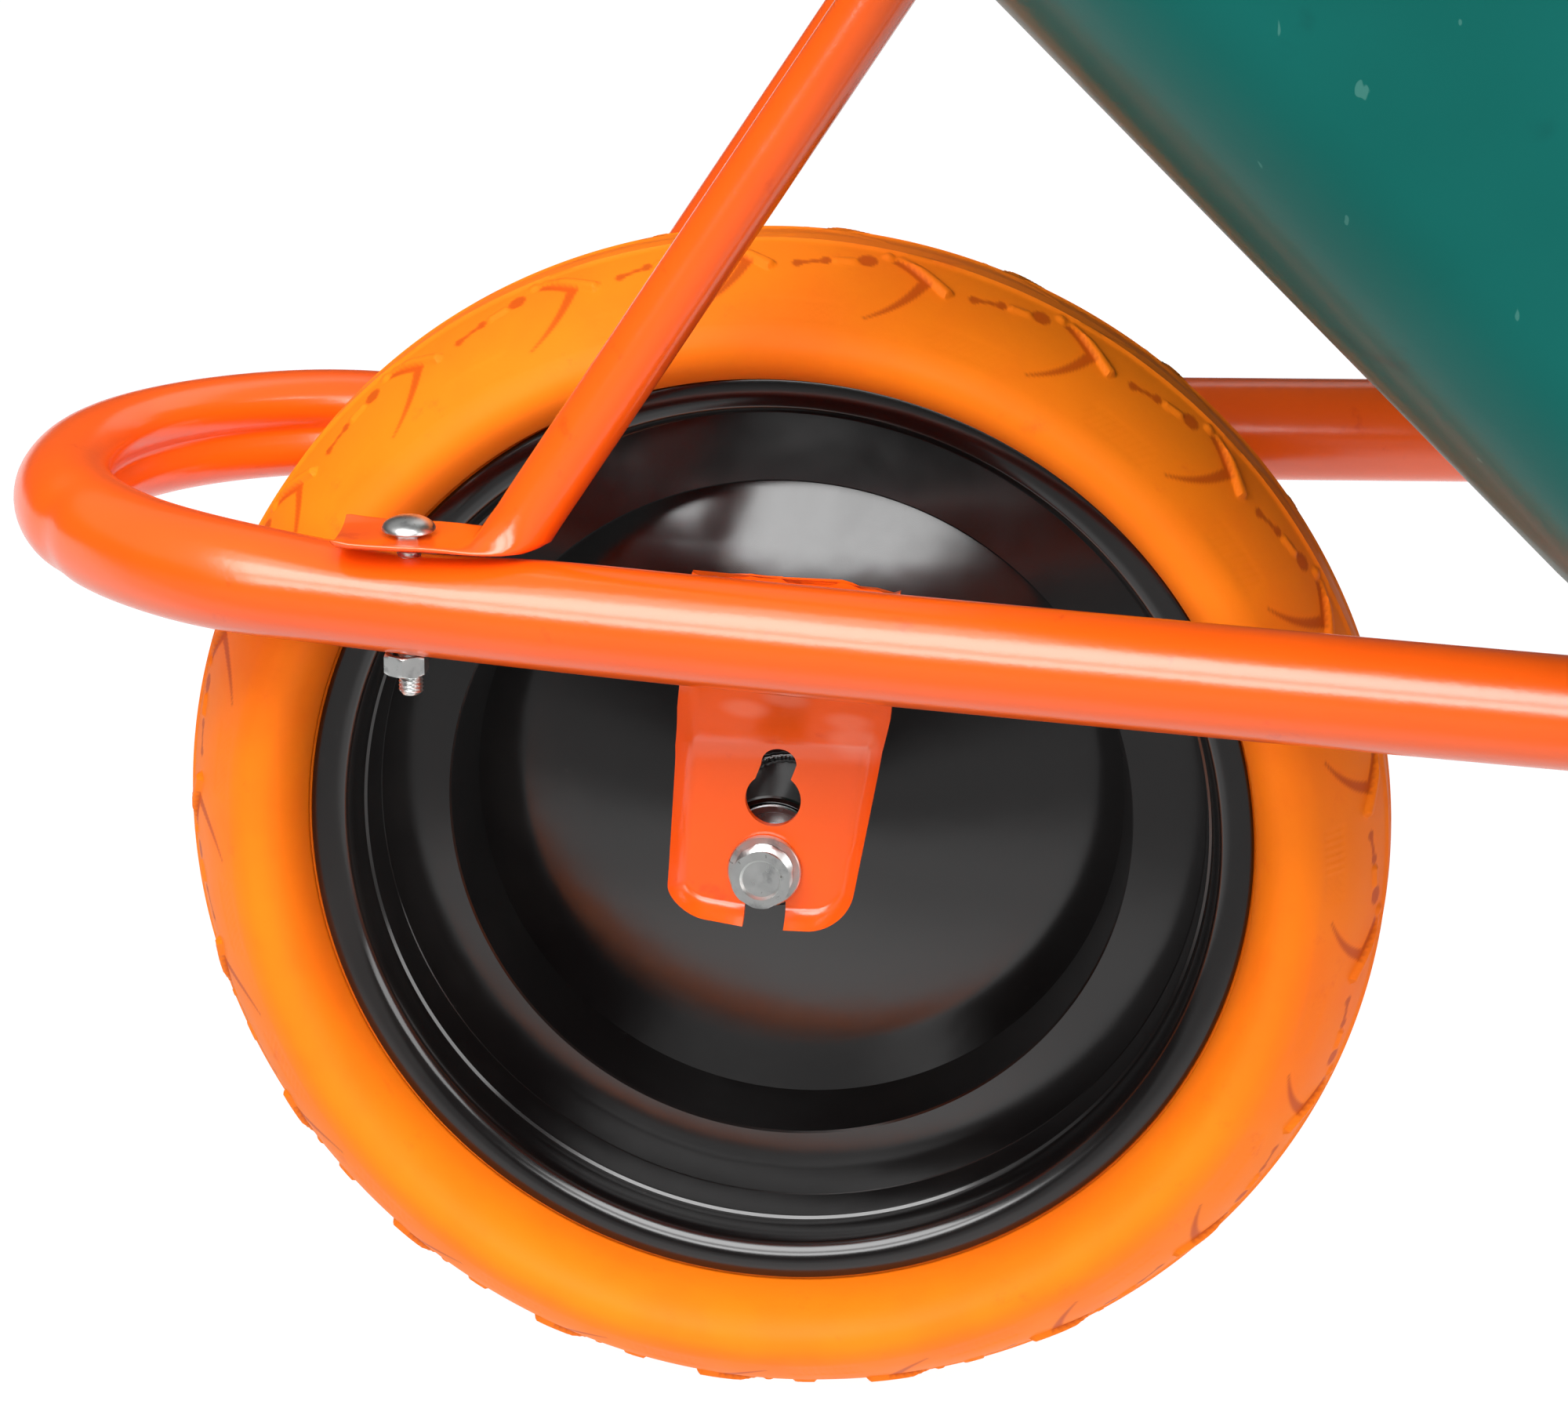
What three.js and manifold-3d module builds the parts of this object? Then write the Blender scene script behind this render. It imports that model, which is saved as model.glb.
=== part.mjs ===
// Single-wheel builder's wheelbarrow: pressed steel tray on a tubular frame whose front loop runs
// around a solid foam tyre on a pressed disc rim. Millimetres, +Z up, +X towards the handles.
import * as THREE from "three";
import { mergeVertices } from "three/addons/utils/BufferGeometryUtils.js";
import Module from "manifold-3d";

const wasm = await Module();
wasm.setup();

// Driving dimensions. Lengths along X are measured from the wheel axle, heights from the ground.
const OVERALL_LENGTH = 1453;
const FRONT_REACH = 255.5; // axle to the foremost face of the frame loop
const WHEEL_RADIUS = 200;
const AXLE_HEIGHT = WHEEL_RADIUS;
const RIM_RADIUS = 156.5;
const TUBE_RADIUS = 17.5;
const TUBE_WALL = 1.5;
const STRUT_RADIUS = 10.25;
const LEG_RADIUS = 12.5;
const SHEET = 1.5; // wheel disc and rim ring
const TRAY_SHEET = 1;
const PLATE = 3; // brackets, flattened tube ends and foot plates
const GAP = 0.3; // clearance between pieces that touch
const AXLE_RADIUS = 6; // M12
const BOLT_RADIUS = 4; // M8
const BOLT_HOLE_RADIUS = 4.5;
const WASHER_BORE = 6.4; // washers, spacers and bearings on the axle
const HUB_HALF_LENGTH = 36;
const REAR_REACH = OVERALL_LENGTH - FRONT_REACH;

// Frame centre line.
const LOOP_START_X = -147.7; // the side tubes turn into the front loop here
const LOOP_DEPTH = FRONT_REACH - TUBE_RADIUS + LOOP_START_X;
const LOOP_SQUARENESS = 2.17; // 2 is an ellipse, more is squarer
const TUBE_JOINT_X = 365; // front loop and handle tubes meet here, under the tray
const TUBE_JOINT_GAP = 1.5;
const HANDLE_BEND_X = 690;
const HANDLE_TOP = [1020, 256, 478]; // where the handles level out
const HANDLE_END = [REAR_REACH, 284, 528];

// Tray: a flat floor and four leaning walls.
const TRAY_FLOOR_Z = 317;
const TRAY_RIM_Z = 600;
const TRAY_FLOOR = { front: 286.5, rear: 640, half: 235, corner: 70 };
const TRAY_RIM = { front: 26.5, rear: 850, half: 335, corner: 100 };
const TRAY_FILLET = 38; // height of the curve between floor and walls
const RIM_ROLL = 5; // radius of the rolled edge

// Fastener and attachment places.
const STRUT_BOLT_X = -108;
const BEARER_X = [372, 560];
const TRAY_BOLT_Y = 100;
const LEG_FRONT_X = 415;
const LEG_REAR_X = 790;
const FOOT_X = [540, 665];
const LEG_BEND_SETBACK = 28;
const FOOT_PLATE_WIDTH = 34;
const CROSSBAR_RADIUS = 10;

// Struts and grips.
const STRUT_END = { front: -133, bend: -74, halfWidth: 14 }; // flattened lower end
const STRUT_TOP = { bend: 549, end: 585, bolt: 571 }; // heights up the tray's front wall
const GRIP = { length: 120, flange: 5, body: 3, past: 4.6 };
const HANDLE_INSET = 6; // tube end short of the grip's end

const paint = (color, roughness, metalness) =>
  new THREE.MeshStandardMaterial({ color, roughness, metalness });
const ORANGE_PAINT = paint(0xff5a12, 0.25, 0.1);
const ORANGE_FOAM = paint(0xff7a12, 0.7, 0);
const BLACK_PAINT = paint(0x0d0c0c, 0.2, 0.1);
const GREEN_PAINT = paint(0x01564f, 0.25, 0.1);
const ZINC = paint(0xc4c6c4, 0.35, 0.9);
const BEARING_STEEL = paint(0x9a9c9e, 0.3, 0.9);
const GRIP_RUBBER = paint(0x151515, 0.8, 0);

const group = new THREE.Group();

function add(name, geometry, material) {
  const mesh = new THREE.Mesh(geometry, material);
  mesh.name = name;
  group.add(mesh);
  return mesh;
}

// The left piece as built, and its mirror image on the right.
function addPair(name, geometry, material) {
  add(`${name}_left`, geometry, material);
  add(`${name}_right`, geometry, material).scale.y = -1;
}

// Solids: closed meshes joined and cut.
function solidOf(geometry) {
  const bare = new THREE.BufferGeometry();
  bare.setAttribute("position", geometry.getAttribute("position"));
  bare.setIndex(geometry.index);
  const merged = mergeVertices(bare, 1e-3);
  return new wasm.Manifold(
    new wasm.Mesh({
      numProp: 3,
      vertProperties: merged.attributes.position.array,
      triVerts: new Uint32Array(merged.index.array),
    }),
  );
}

function geometryOf(solid) {
  const mesh = solid.getMesh();
  const geometry = new THREE.BufferGeometry();
  geometry.setAttribute("position", new THREE.BufferAttribute(mesh.vertProperties, 3));
  geometry.setIndex(new THREE.BufferAttribute(mesh.triVerts, 1));
  return geometry;
}

function cut(geometry, tools) {
  const solid = tools.reduce((rest, tool) => rest.subtract(solidOf(tool)), solidOf(geometry));
  return geometryOf(solid);
}

const vector = (point) => new THREE.Vector3(...point);

// Turns a geometry built along +Y to point along a direction, and moves it to a point.
function aimed(geometry, point, direction) {
  const turn = new THREE.Quaternion().setFromUnitVectors(
    new THREE.Vector3(0, 1, 0),
    vector(direction).normalize(),
  );
  return geometry.applyQuaternion(turn).translate(...point);
}

function drill(point, direction, radius, length) {
  return aimed(new THREE.CylinderGeometry(radius, radius, length, 12), point, direction);
}

// A solid of revolution about Y from a closed profile of [radius, y] points.
function turned(profile, segments) {
  const points = profile.map(([r, y]) => new THREE.Vector2(r, y));
  if (THREE.ShapeUtils.area(points) < 0) points.reverse();
  return new THREE.LatheGeometry([...points, points[0]], segments);
}

// A line of [radius, y] points moved sideways: each corner moves along its mean normal.
function offsetLine(points, distance) {
  const normals = points.slice(1).map(([r, y], i) => {
    const [r0, y0] = points[i];
    return new THREE.Vector2(y0 - y, r - r0).normalize();
  });
  return points.map(([r, y], i) => {
    const before = normals[Math.max(i - 1, 0)];
    const after = normals[Math.min(i, normals.length - 1)];
    const mean = before.clone().add(after).normalize();
    const reach = distance / mean.dot(before);
    return [r + mean.x * reach, y + mean.y * reach];
  });
}

// A turned sheet whose face follows a line of [radius, y] points.
function turnedSheet(face, thickness, segments) {
  return turned([...face, ...offsetLine(face, thickness).reverse()], segments);
}

function ring(innerRadius, outerRadius, y0, y1, segments = 20) {
  const profile = [
    [innerRadius, y0],
    [outerRadius, y0],
    [outerRadius, y1],
    [innerRadius, y1],
  ];
  return turned(profile, segments);
}

// A hollow round tube swept along a curve, open at both ends.
function tube(curve, radius, wall, sides, steps) {
  const section = new THREE.Shape().absarc(0, 0, radius, 0, 2 * Math.PI);
  section.holes.push(new THREE.Path().absarc(0, 0, radius - wall, 0, 2 * Math.PI, true));
  const settings = { extrudePath: curve, steps, curveSegments: sides, bevelEnabled: false };
  return new THREE.ExtrudeGeometry(section, settings);
}

// A path of straight lines whose corners are rounded by curves that start setback before them.
function bentPath(corners, setback) {
  const points = corners.map(vector);
  const path = new THREE.CurvePath();
  let from = points[0];
  for (let i = 1; i < points.length - 1; i++) {
    const back = points[i - 1].clone().sub(points[i]).setLength(setback).add(points[i]);
    const ahead = points[i + 1].clone().sub(points[i]).setLength(setback).add(points[i]);
    path.add(new THREE.LineCurve3(from, back));
    path.add(new THREE.QuadraticBezierCurve3(back, points[i], ahead));
    from = ahead;
  }
  path.add(new THREE.LineCurve3(from, points.at(-1)));
  return path;
}

// A closed skin through rings of equal point counts, counter-clockwise seen from the last ring.
function loft(rings) {
  const count = rings[0].length;
  const positions = rings.flat().flatMap((point) => point.toArray());
  const index = [];
  for (let r = 0; r + 1 < rings.length; r++) {
    for (let i = 0; i < count; i++) {
      const a = r * count + i;
      const b = r * count + ((i + 1) % count);
      index.push(a, b, b + count, a, b + count, a + count);
    }
  }
  capFaces(rings[0]).forEach(([a, b, c]) => index.push(a, c, b));
  const last = (rings.length - 1) * count;
  capFaces(rings.at(-1)).forEach(([a, b, c]) => index.push(a + last, b + last, c + last));
  const geometry = new THREE.BufferGeometry();
  geometry.setAttribute("position", new THREE.Float32BufferAttribute(positions, 3));
  geometry.setIndex(index);
  return geometry;
}

// Triangles that fill a ring, found in the plane of the ring.
function capFaces(points) {
  const normal = new THREE.Vector3();
  points.forEach((p, i) => {
    normal.add(new THREE.Vector3().crossVectors(p, points[(i + 1) % points.length]));
  });
  const turn = new THREE.Quaternion().setFromUnitVectors(
    normal.normalize(),
    new THREE.Vector3(0, 0, 1),
  );
  const flat = points.map((p) => {
    const q = p.clone().applyQuaternion(turn);
    return new THREE.Vector2(q.x, q.y);
  });
  return THREE.ShapeUtils.triangulateShape(flat, []);
}

// ---- Frame ----

// The side tubes' distance from the middle of the barrow: they spread towards the handles.
function sideOffset(x) {
  return 120 + 0.155 * x - 6e-5 * x * x;
}

// The tube centre line's height, rising slightly towards the front loop.
function tubeHeight(x) {
  const rise = x < 0 ? 8e-5 * x * x : 0;
  return AXLE_HEIGHT + 100.5 - 0.0094 * x + rise;
}

// The front loop: right side tube forward, round the front of the wheel, left side tube back.
class LoopCurve extends THREE.Curve {
  getPoint(t) {
    const side = t < 0.5 ? 1 : -1;
    const along = Math.abs(2 * t - 1);
    const straight = 0.7; // share of each half that is side tube
    if (along > 1 - straight) {
      const share = (along - (1 - straight)) / straight;
      const x = THREE.MathUtils.lerp(LOOP_START_X, TUBE_JOINT_X, share);
      return new THREE.Vector3(x, side * sideOffset(x), tubeHeight(x));
    }
    const angle = (Math.PI / 2) * (along / (1 - straight));
    const power = 2 / LOOP_SQUARENESS;
    const x = LOOP_START_X - LOOP_DEPTH * Math.cos(angle) ** power;
    const y = sideOffset(x) * Math.sin(angle) ** power;
    return new THREE.Vector3(x, side * y, tubeHeight(x));
  }
}

const handlePath = bentPath(
  [
    [TUBE_JOINT_X + TUBE_JOINT_GAP, -sideOffset(TUBE_JOINT_X), tubeHeight(TUBE_JOINT_X)],
    [HANDLE_BEND_X, -sideOffset(HANDLE_BEND_X), tubeHeight(HANDLE_BEND_X)],
    [HANDLE_TOP[0], -HANDLE_TOP[1], HANDLE_TOP[2]],
    [HANDLE_END[0] - HANDLE_INSET, -HANDLE_END[1], HANDLE_END[2]],
  ],
  45,
);

// The left handle's centre at a given X, and its direction there.
function handleAt(x) {
  let low = 0;
  let high = 1;
  while (high - low > 1e-6) {
    const middle = (low + high) / 2;
    if (handlePath.getPoint(middle).x < x) low = middle;
    else high = middle;
  }
  return { point: handlePath.getPoint(low), tangent: handlePath.getTangent(low) };
}

// The legs stand in upright planes just inside the handle tubes.
const legOffset = TUBE_RADIUS + 3 * GAP + LEG_RADIUS;
const legFront = handleAt(LEG_FRONT_X).point.add(new THREE.Vector3(0, legOffset, 0));
const legRear = handleAt(LEG_REAR_X).point.add(new THREE.Vector3(0, legOffset, 0));
const legSlope = (legRear.y - legFront.y) / (legRear.x - legFront.x);
const legAcross = [-legSlope, 1, 0]; // square to the leg's plane
const legPoint = (x, z) => [x, legFront.y + legSlope * (x - legFront.x), z];

const footLevel = LEG_RADIUS + PLATE + GAP;
const crossbarX = FOOT_X[0] - 52;
const crossbarZ = 132;

function addFrame() {
  const strutBoltTop = [STRUT_BOLT_X, -sideOffset(STRUT_BOLT_X), tubeHeight(STRUT_BOLT_X)];
  const strutHoles = [1, -1].map((side) => {
    const [x, y, z] = strutBoltTop;
    return drill([x, y * side, z], [0, 0, 1], BOLT_HOLE_RADIUS, 4 * TUBE_RADIUS);
  });
  const loop = tube(new LoopCurve(), TUBE_RADIUS, TUBE_WALL, 6, 46);
  add("frame_loop", cut(loop, strutHoles), ORANGE_PAINT);

  const throughLeg = 4 * legOffset;
  const legHoles = [legFront, legRear].map((p) =>
    drill(p.toArray(), legAcross, BOLT_HOLE_RADIUS, throughLeg),
  );
  const handle = tube(handlePath, TUBE_RADIUS, TUBE_WALL, 6, 20);
  addPair("handle_tube", cut(handle, legHoles), ORANGE_PAINT);

  const sleeveFront = TUBE_JOINT_X - 50;
  const sleeveRear = TUBE_JOINT_X + 35;
  const sleeveCurve = new THREE.LineCurve3(
    new THREE.Vector3(sleeveFront, -sideOffset(sleeveFront), tubeHeight(sleeveFront)),
    handleAt(sleeveRear).point,
  );
  const sleeveRadius = TUBE_RADIUS - TUBE_WALL - 1;
  addPair("joint_sleeve", tube(sleeveCurve, sleeveRadius, TUBE_WALL, 6, 1), ZINC);
}

function addGrips() {
  const end = handleAt(HANDLE_END[0] - HANDLE_INSET);
  const { length } = GRIP;
  const bore = TUBE_RADIUS + 2 * GAP;
  const endWall = 5;
  const profile = [
    [bore, 0],
    [bore + GRIP.flange, 0],
    [bore + GRIP.flange, 6],
    [bore + GRIP.body, 9],
    [bore + GRIP.body, length - 8],
    [bore, length],
    [0, length],
    [0, length - endWall],
    [bore, length - endWall],
  ];
  const start = end.point.clone().addScaledVector(end.tangent, GRIP.past + 1 - length);
  addPair("grip", aimed(turned(profile, 16), start.toArray(), end.tangent.toArray()), GRIP_RUBBER);
}

// ---- Wheel ----

function tyreProfile() {
  const half = [
    [146, 0],
    [146, 12],
    [150, 17.5],
    [157.4, 19.5],
    [157.4, 24],
    [160, 36],
    [165, 44],
    [171, 47],
    [178, 43.5],
    [184, 37],
    [190, 28.5],
    [195.5, 17.5],
    [198.8, 8],
    [WHEEL_RADIUS, 0],
  ];
  const mirrored = half.slice(1, -1).reverse().map(([r, y]) => [r, -y]);
  return [...half, ...mirrored];
}

// The left face of the wheel's pressed disc, from the hub out: a shallow dome, a step up to the
// flat ring that the rim ring is welded behind, the deep barrel and the lip.
const DISC_FACE = [
  [19.6, 2.8],
  [32, 4.2],
  [44, 7.8],
  [106, 31],
  [110.5, 29],
  [114, 6],
  [116.5, 3.6],
  [138, 9],
  [140, 6],
  [143.5, -16],
  [148.5, -21],
  [RIM_RADIUS, -22.5],
];

// The right face of the rim ring: from its weld flange out to the right lip.
const RING_FACE = [
  [120, 8.6],
  [137, 12.7],
  [141, 14.5],
  [143.5, 17],
  [148.5, 21],
  [RIM_RADIUS, 22.5],
];

function addWheel() {
  const onAxle = (geometry) => geometry.translate(0, 0, AXLE_HEIGHT);
  add("tyre", onAxle(turned(tyreProfile(), 40)), ORANGE_FOAM);
  add("rim_disc", onAxle(turnedSheet(DISC_FACE, SHEET, 36)), BLACK_PAINT);
  add("rim_ring", onAxle(turnedSheet(RING_FACE, -SHEET, 36)), BLACK_PAINT);
  add("hub_tube", onAxle(ring(16.4, 19, -HUB_HALF_LENGTH, HUB_HALF_LENGTH)), BLACK_PAINT);
  const bearing = ring(WASHER_BORE, 16, -HUB_HALF_LENGTH, 10 - HUB_HALF_LENGTH);
  addPair("wheel_bearing", onAxle(bearing), BEARING_STEEL);
}

// ---- Axle set ----

const BRACKET_FACE = -54; // outer face of the bracket's web

function hexagon(acrossFlats) {
  const corner = acrossFlats / Math.sqrt(3);
  const points = [0, 1, 2, 3, 4, 5].map(
    (i) => new THREE.Vector2(corner * Math.cos((i * Math.PI) / 3), corner * Math.sin((i * Math.PI) / 3)),
  );
  return new THREE.Shape(points);
}

// A hexagonal nut from y = 0 to y = height.
function nut(acrossFlats, holeRadius, height) {
  const shape = hexagon(acrossFlats);
  shape.holes.push(new THREE.Path().absarc(0, 0, holeRadius, 0, 2 * Math.PI, true));
  const settings = { depth: height, bevelEnabled: false, curveSegments: 6 };
  return new THREE.ExtrudeGeometry(shape, settings).rotateX(-Math.PI / 2);
}

// A hexagon-head bolt along +Y, its head below y = 0 and its shank above.
function hexBolt(acrossFlats, headHeight, radius, length) {
  const settings = { depth: headHeight, bevelEnabled: false };
  const head = new THREE.ExtrudeGeometry(hexagon(acrossFlats), settings);
  head.rotateX(-Math.PI / 2).translate(0, -headHeight, 0);
  const shank = new THREE.CylinderGeometry(radius, radius, length + 1, 20);
  shank.translate(0, (length - 1) / 2, 0); // its first millimetre is inside the head
  return geometryOf(solidOf(head).add(solidOf(shank)));
}

// A round-headed carriage bolt along +Y, its head below y = 0 and its shank above.
function carriageBolt(length) {
  const profile = [
    [0, -4.6],
    [5, -3.8],
    [7.6, -2],
    [8.6, 0],
    [BOLT_RADIUS, 0],
    [BOLT_RADIUS, length],
    [0, length],
  ];
  return turned(profile, 12);
}

const M8_NUT = { acrossFlats: 13, hole: BOLT_RADIUS + GAP, height: 6.5 };
const m8Nut = () => nut(M8_NUT.acrossFlats, M8_NUT.hole, M8_NUT.height);

// A U-shaped section of the axle bracket: web and two lips turned outwards.
function bracketSection({ z, left, right, face, spread, lip }) {
  const outer = (x) => face - spread * (x - left);
  const corners = [
    [left, PLATE],
    [left, -lip],
    [left + PLATE, -lip],
    [left + PLATE, 0],
    [right - PLATE, 0],
    [right - PLATE, -lip],
    [right, -lip],
    [right, PLATE],
  ];
  return corners.map(([x, depth]) => new THREE.Vector3(x, outer(x) + depth, AXLE_HEIGHT + z));
}

function axleBracket() {
  const flat = { face: BRACKET_FACE, spread: 0, lip: 6 };
  const sections = [
    { z: -20, left: -32, right: 27, ...flat },
    { z: 44, left: -28, right: 39, ...flat },
    { z: 62, left: -25, right: 44, face: -72, spread: 0.06, lip: 4 },
    { z: 82, left: -21, right: 48, face: -95.5, spread: 0.14, lip: 0.5 },
    { z: 114, left: -17, right: 50, face: -95.5, spread: 0.145, lip: 0.5 },
  ];
  const plate = loft(sections.map(bracketSection));
  const slotWidth = 2 * AXLE_RADIUS + 1.4;
  const slotDepth = 40;
  const slot = new THREE.BoxGeometry(slotWidth, 20, slotDepth);
  slot.translate(0, BRACKET_FACE, AXLE_HEIGHT - slotDepth / 2);
  const hole = (x, z, radius) => drill([x, BRACKET_FACE, AXLE_HEIGHT + z], [0, 1, 0], radius, 20);
  const keyhole = { x: 2.6, z: 24, radius: 9, top: 36.5, topRadius: 5.2, lean: 1.8 };
  const neckHeight = keyhole.top - keyhole.z;
  const neck = new THREE.BoxGeometry(2 * keyhole.topRadius, 20, neckHeight);
  neck.translate(keyhole.x + keyhole.lean, BRACKET_FACE, AXLE_HEIGHT + keyhole.z + neckHeight / 2);
  const top = hole(keyhole.x + keyhole.lean, keyhole.top, keyhole.topRadius);
  return cut(plate, [
    slot,
    hole(0, 0, slotWidth / 2),
    hole(keyhole.x, keyhole.z, keyhole.radius),
    neck,
    top,
  ]);
}

function addAxleSet() {
  addPair("axle_bracket", axleBracket(), ORANGE_PAINT);
  const at = (geometry, y) => geometry.translate(0, y, AXLE_HEIGHT);
  const washerThickness = 2.5;
  const washerFace = BRACKET_FACE - GAP;
  const washerTop = washerFace - washerThickness;
  addPair("axle_washer", at(ring(WASHER_BORE, 12, -washerThickness, 0), washerFace), ZINC);
  const spacerEnd = BRACKET_FACE + PLATE + GAP;
  const spacerLength = -HUB_HALF_LENGTH - GAP - spacerEnd;
  addPair("axle_spacer", at(ring(WASHER_BORE, 9, 0, spacerLength), spacerEnd), ZINC);
  const acrossFlats = 19; // M12
  const nutHeight = 10;
  const reach = -2 * washerTop + 2 * GAP + nutHeight + 3;
  add("axle_bolt", at(hexBolt(acrossFlats, 8, AXLE_RADIUS, reach), washerTop - GAP), ZINC);
  add("axle_nut", at(nut(acrossFlats, AXLE_RADIUS + GAP, nutHeight), -washerTop + GAP), ZINC);
}

// ---- Front struts ----

// Wall of the tray at a height: its front face's X.
function trayFrontX(z) {
  const share = (z - TRAY_FLOOR_Z) / (TRAY_RIM_Z - TRAY_FLOOR_Z);
  return THREE.MathUtils.lerp(TRAY_FLOOR.front, TRAY_RIM.front, share);
}

// A ring of a flattened tube: centre, the direction it is flattened along, and two half sizes.
function strutRing(centre, thinAxis, halfThin, halfWide) {
  const sides = 12;
  const points = [];
  for (let i = 0; i < sides; i++) {
    const angle = (2 * Math.PI * i) / sides;
    const squeeze = (value) => Math.sign(value) * Math.abs(value) ** 0.8;
    const point = centre.clone().addScaledVector(thinAxis, halfThin * squeeze(Math.cos(angle)));
    point.y -= halfWide * squeeze(Math.sin(angle));
    points.push(point);
  }
  return points;
}

const strutY = -sideOffset(STRUT_BOLT_X);
const strutPlateZ = tubeHeight(STRUT_BOLT_X) + TUBE_RADIUS + GAP + PLATE / 2 + 0.4;

// The tray's front wall: its direction upwards and its outward normal.
const wallUp = new THREE.Vector3(trayFrontX(1) - trayFrontX(0), 0, 1).normalize();
const wallOut = new THREE.Vector3(-wallUp.z, 0, wallUp.x);

// The middle of the strut's upper plate at a height up the tray's front wall.
function wallPlateAt(z) {
  const offset = PLATE / 2 + GAP + 0.1;
  return new THREE.Vector3(trayFrontX(z), strutY, z).addScaledVector(wallOut, offset);
}

// A round tube with both ends squashed flat: one lies on the frame tube, one on the tray.
function addStruts() {
  const bend = new THREE.Vector3(STRUT_END.bend, strutY, strutPlateZ);
  const top = wallPlateAt(STRUT_TOP.bend);
  const along = top.clone().sub(bend).normalize();
  const across = new THREE.Vector3(-along.z, 0, along.x);
  const up = new THREE.Vector3(0, 0, 1);
  const between = (a, b) => a.clone().add(b).normalize();
  const from = (origin, distance) => origin.clone().addScaledVector(along, distance);
  const flat = (centre, axis) => strutRing(centre, axis, PLATE / 2, STRUT_END.halfWidth);
  const oval = (centre) => strutRing(centre, across, STRUT_RADIUS * 0.7, STRUT_RADIUS * 1.2);
  const round = (centre, radius) => strutRing(centre, across, radius, radius);
  const roundFrom = from(bend, 30);
  const roundTo = from(top, -34);
  const rings = [
    flat(new THREE.Vector3(STRUT_END.front, strutY, strutPlateZ), up),
    flat(bend, between(up, across)),
    oval(from(bend, 16)),
    round(roundFrom, STRUT_RADIUS),
    round(roundTo, STRUT_RADIUS),
    oval(from(top, -18)),
    flat(top.clone().addScaledVector(wallOut, 1.2), between(wallOut, across)),
    flat(wallPlateAt(STRUT_TOP.end), wallOut),
  ];
  const bore = STRUT_RADIUS - 1.2;
  const tools = [
    loft([round(roundFrom, bore), round(roundTo, bore)]),
    drill(from(roundFrom, 14).toArray(), [0, 1, 0], 2, 30), // drain hole into the hollow tube
    drill([STRUT_BOLT_X, strutY, strutPlateZ], [0, 0, 1], BOLT_HOLE_RADIUS, 20),
    drill(wallPlateAt(STRUT_TOP.bolt).toArray(), wallOut.toArray(), BOLT_HOLE_RADIUS, 20),
  ];
  addPair("front_strut", cut(loft(rings), tools), ORANGE_PAINT);

  const lowerHead = [STRUT_BOLT_X, strutY, strutPlateZ + PLATE / 2 + GAP];
  addPair("strut_lower_bolt", aimed(carriageBolt(54), lowerHead, [0, 0, -1]), ZINC);
  const lowerNut = [STRUT_BOLT_X, strutY, tubeHeight(STRUT_BOLT_X) - TUBE_RADIUS - GAP];
  addPair("strut_lower_nut", aimed(m8Nut(), lowerNut, [0, 0, -1]), ZINC);

  const onWall = (distance) => {
    const face = new THREE.Vector3(trayFrontX(STRUT_TOP.bolt), strutY, STRUT_TOP.bolt);
    return face.addScaledVector(wallOut, distance).toArray();
  };
  const outwards = wallOut.toArray();
  addPair("strut_upper_bolt", aimed(carriageBolt(17), onWall(-TRAY_SHEET - GAP), outwards), ZINC);
  addPair("strut_upper_nut", aimed(m8Nut(), onWall(PLATE + 3 * GAP), outwards), ZINC);
}

// ---- Tray ----

// A rounded rectangle at a height, counter-clockwise seen from above.
function trayRing({ front, rear, half, corner }, z) {
  const outline = new THREE.Shape();
  const quarter = Math.PI / 2;
  outline.absarc(rear - corner, half - corner, corner, 0, quarter);
  outline.absarc(front + corner, half - corner, corner, quarter, 2 * quarter);
  outline.absarc(front + corner, -half + corner, corner, 2 * quarter, 3 * quarter);
  outline.absarc(rear - corner, -half + corner, corner, 3 * quarter, 4 * quarter);
  return outline.getPoints(3).slice(0, 28).map((p) => new THREE.Vector3(p.x, p.y, z));
}

// The tray's outline at a share of its height, moved in or out by an offset.
function traySize(share, offset) {
  const between = (key) => THREE.MathUtils.lerp(TRAY_FLOOR[key], TRAY_RIM[key], share);
  return {
    front: between("front") - offset,
    rear: between("rear") + offset,
    half: between("half") + offset,
    corner: between("corner") + offset,
  };
}

// The outline in the curve between floor and walls, from s = 0 on the floor to s = 1 on the wall.
function filletSize(s, offset) {
  const depth = TRAY_RIM_Z - TRAY_FLOOR_Z;
  const wall = traySize(TRAY_FILLET / depth, offset);
  const edge = traySize(0, offset);
  const size = {};
  for (const key of ["front", "rear", "half", "corner"]) {
    const run = Math.hypot(wall[key] - edge[key], TRAY_FILLET);
    const inwards = key === "front" ? run : -run;
    const flat = edge[key] + (key === "corner" ? -20 : inwards);
    size[key] = (1 - s) ** 2 * flat + 2 * s * (1 - s) * edge[key] + s ** 2 * wall[key];
  }
  return size;
}

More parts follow.
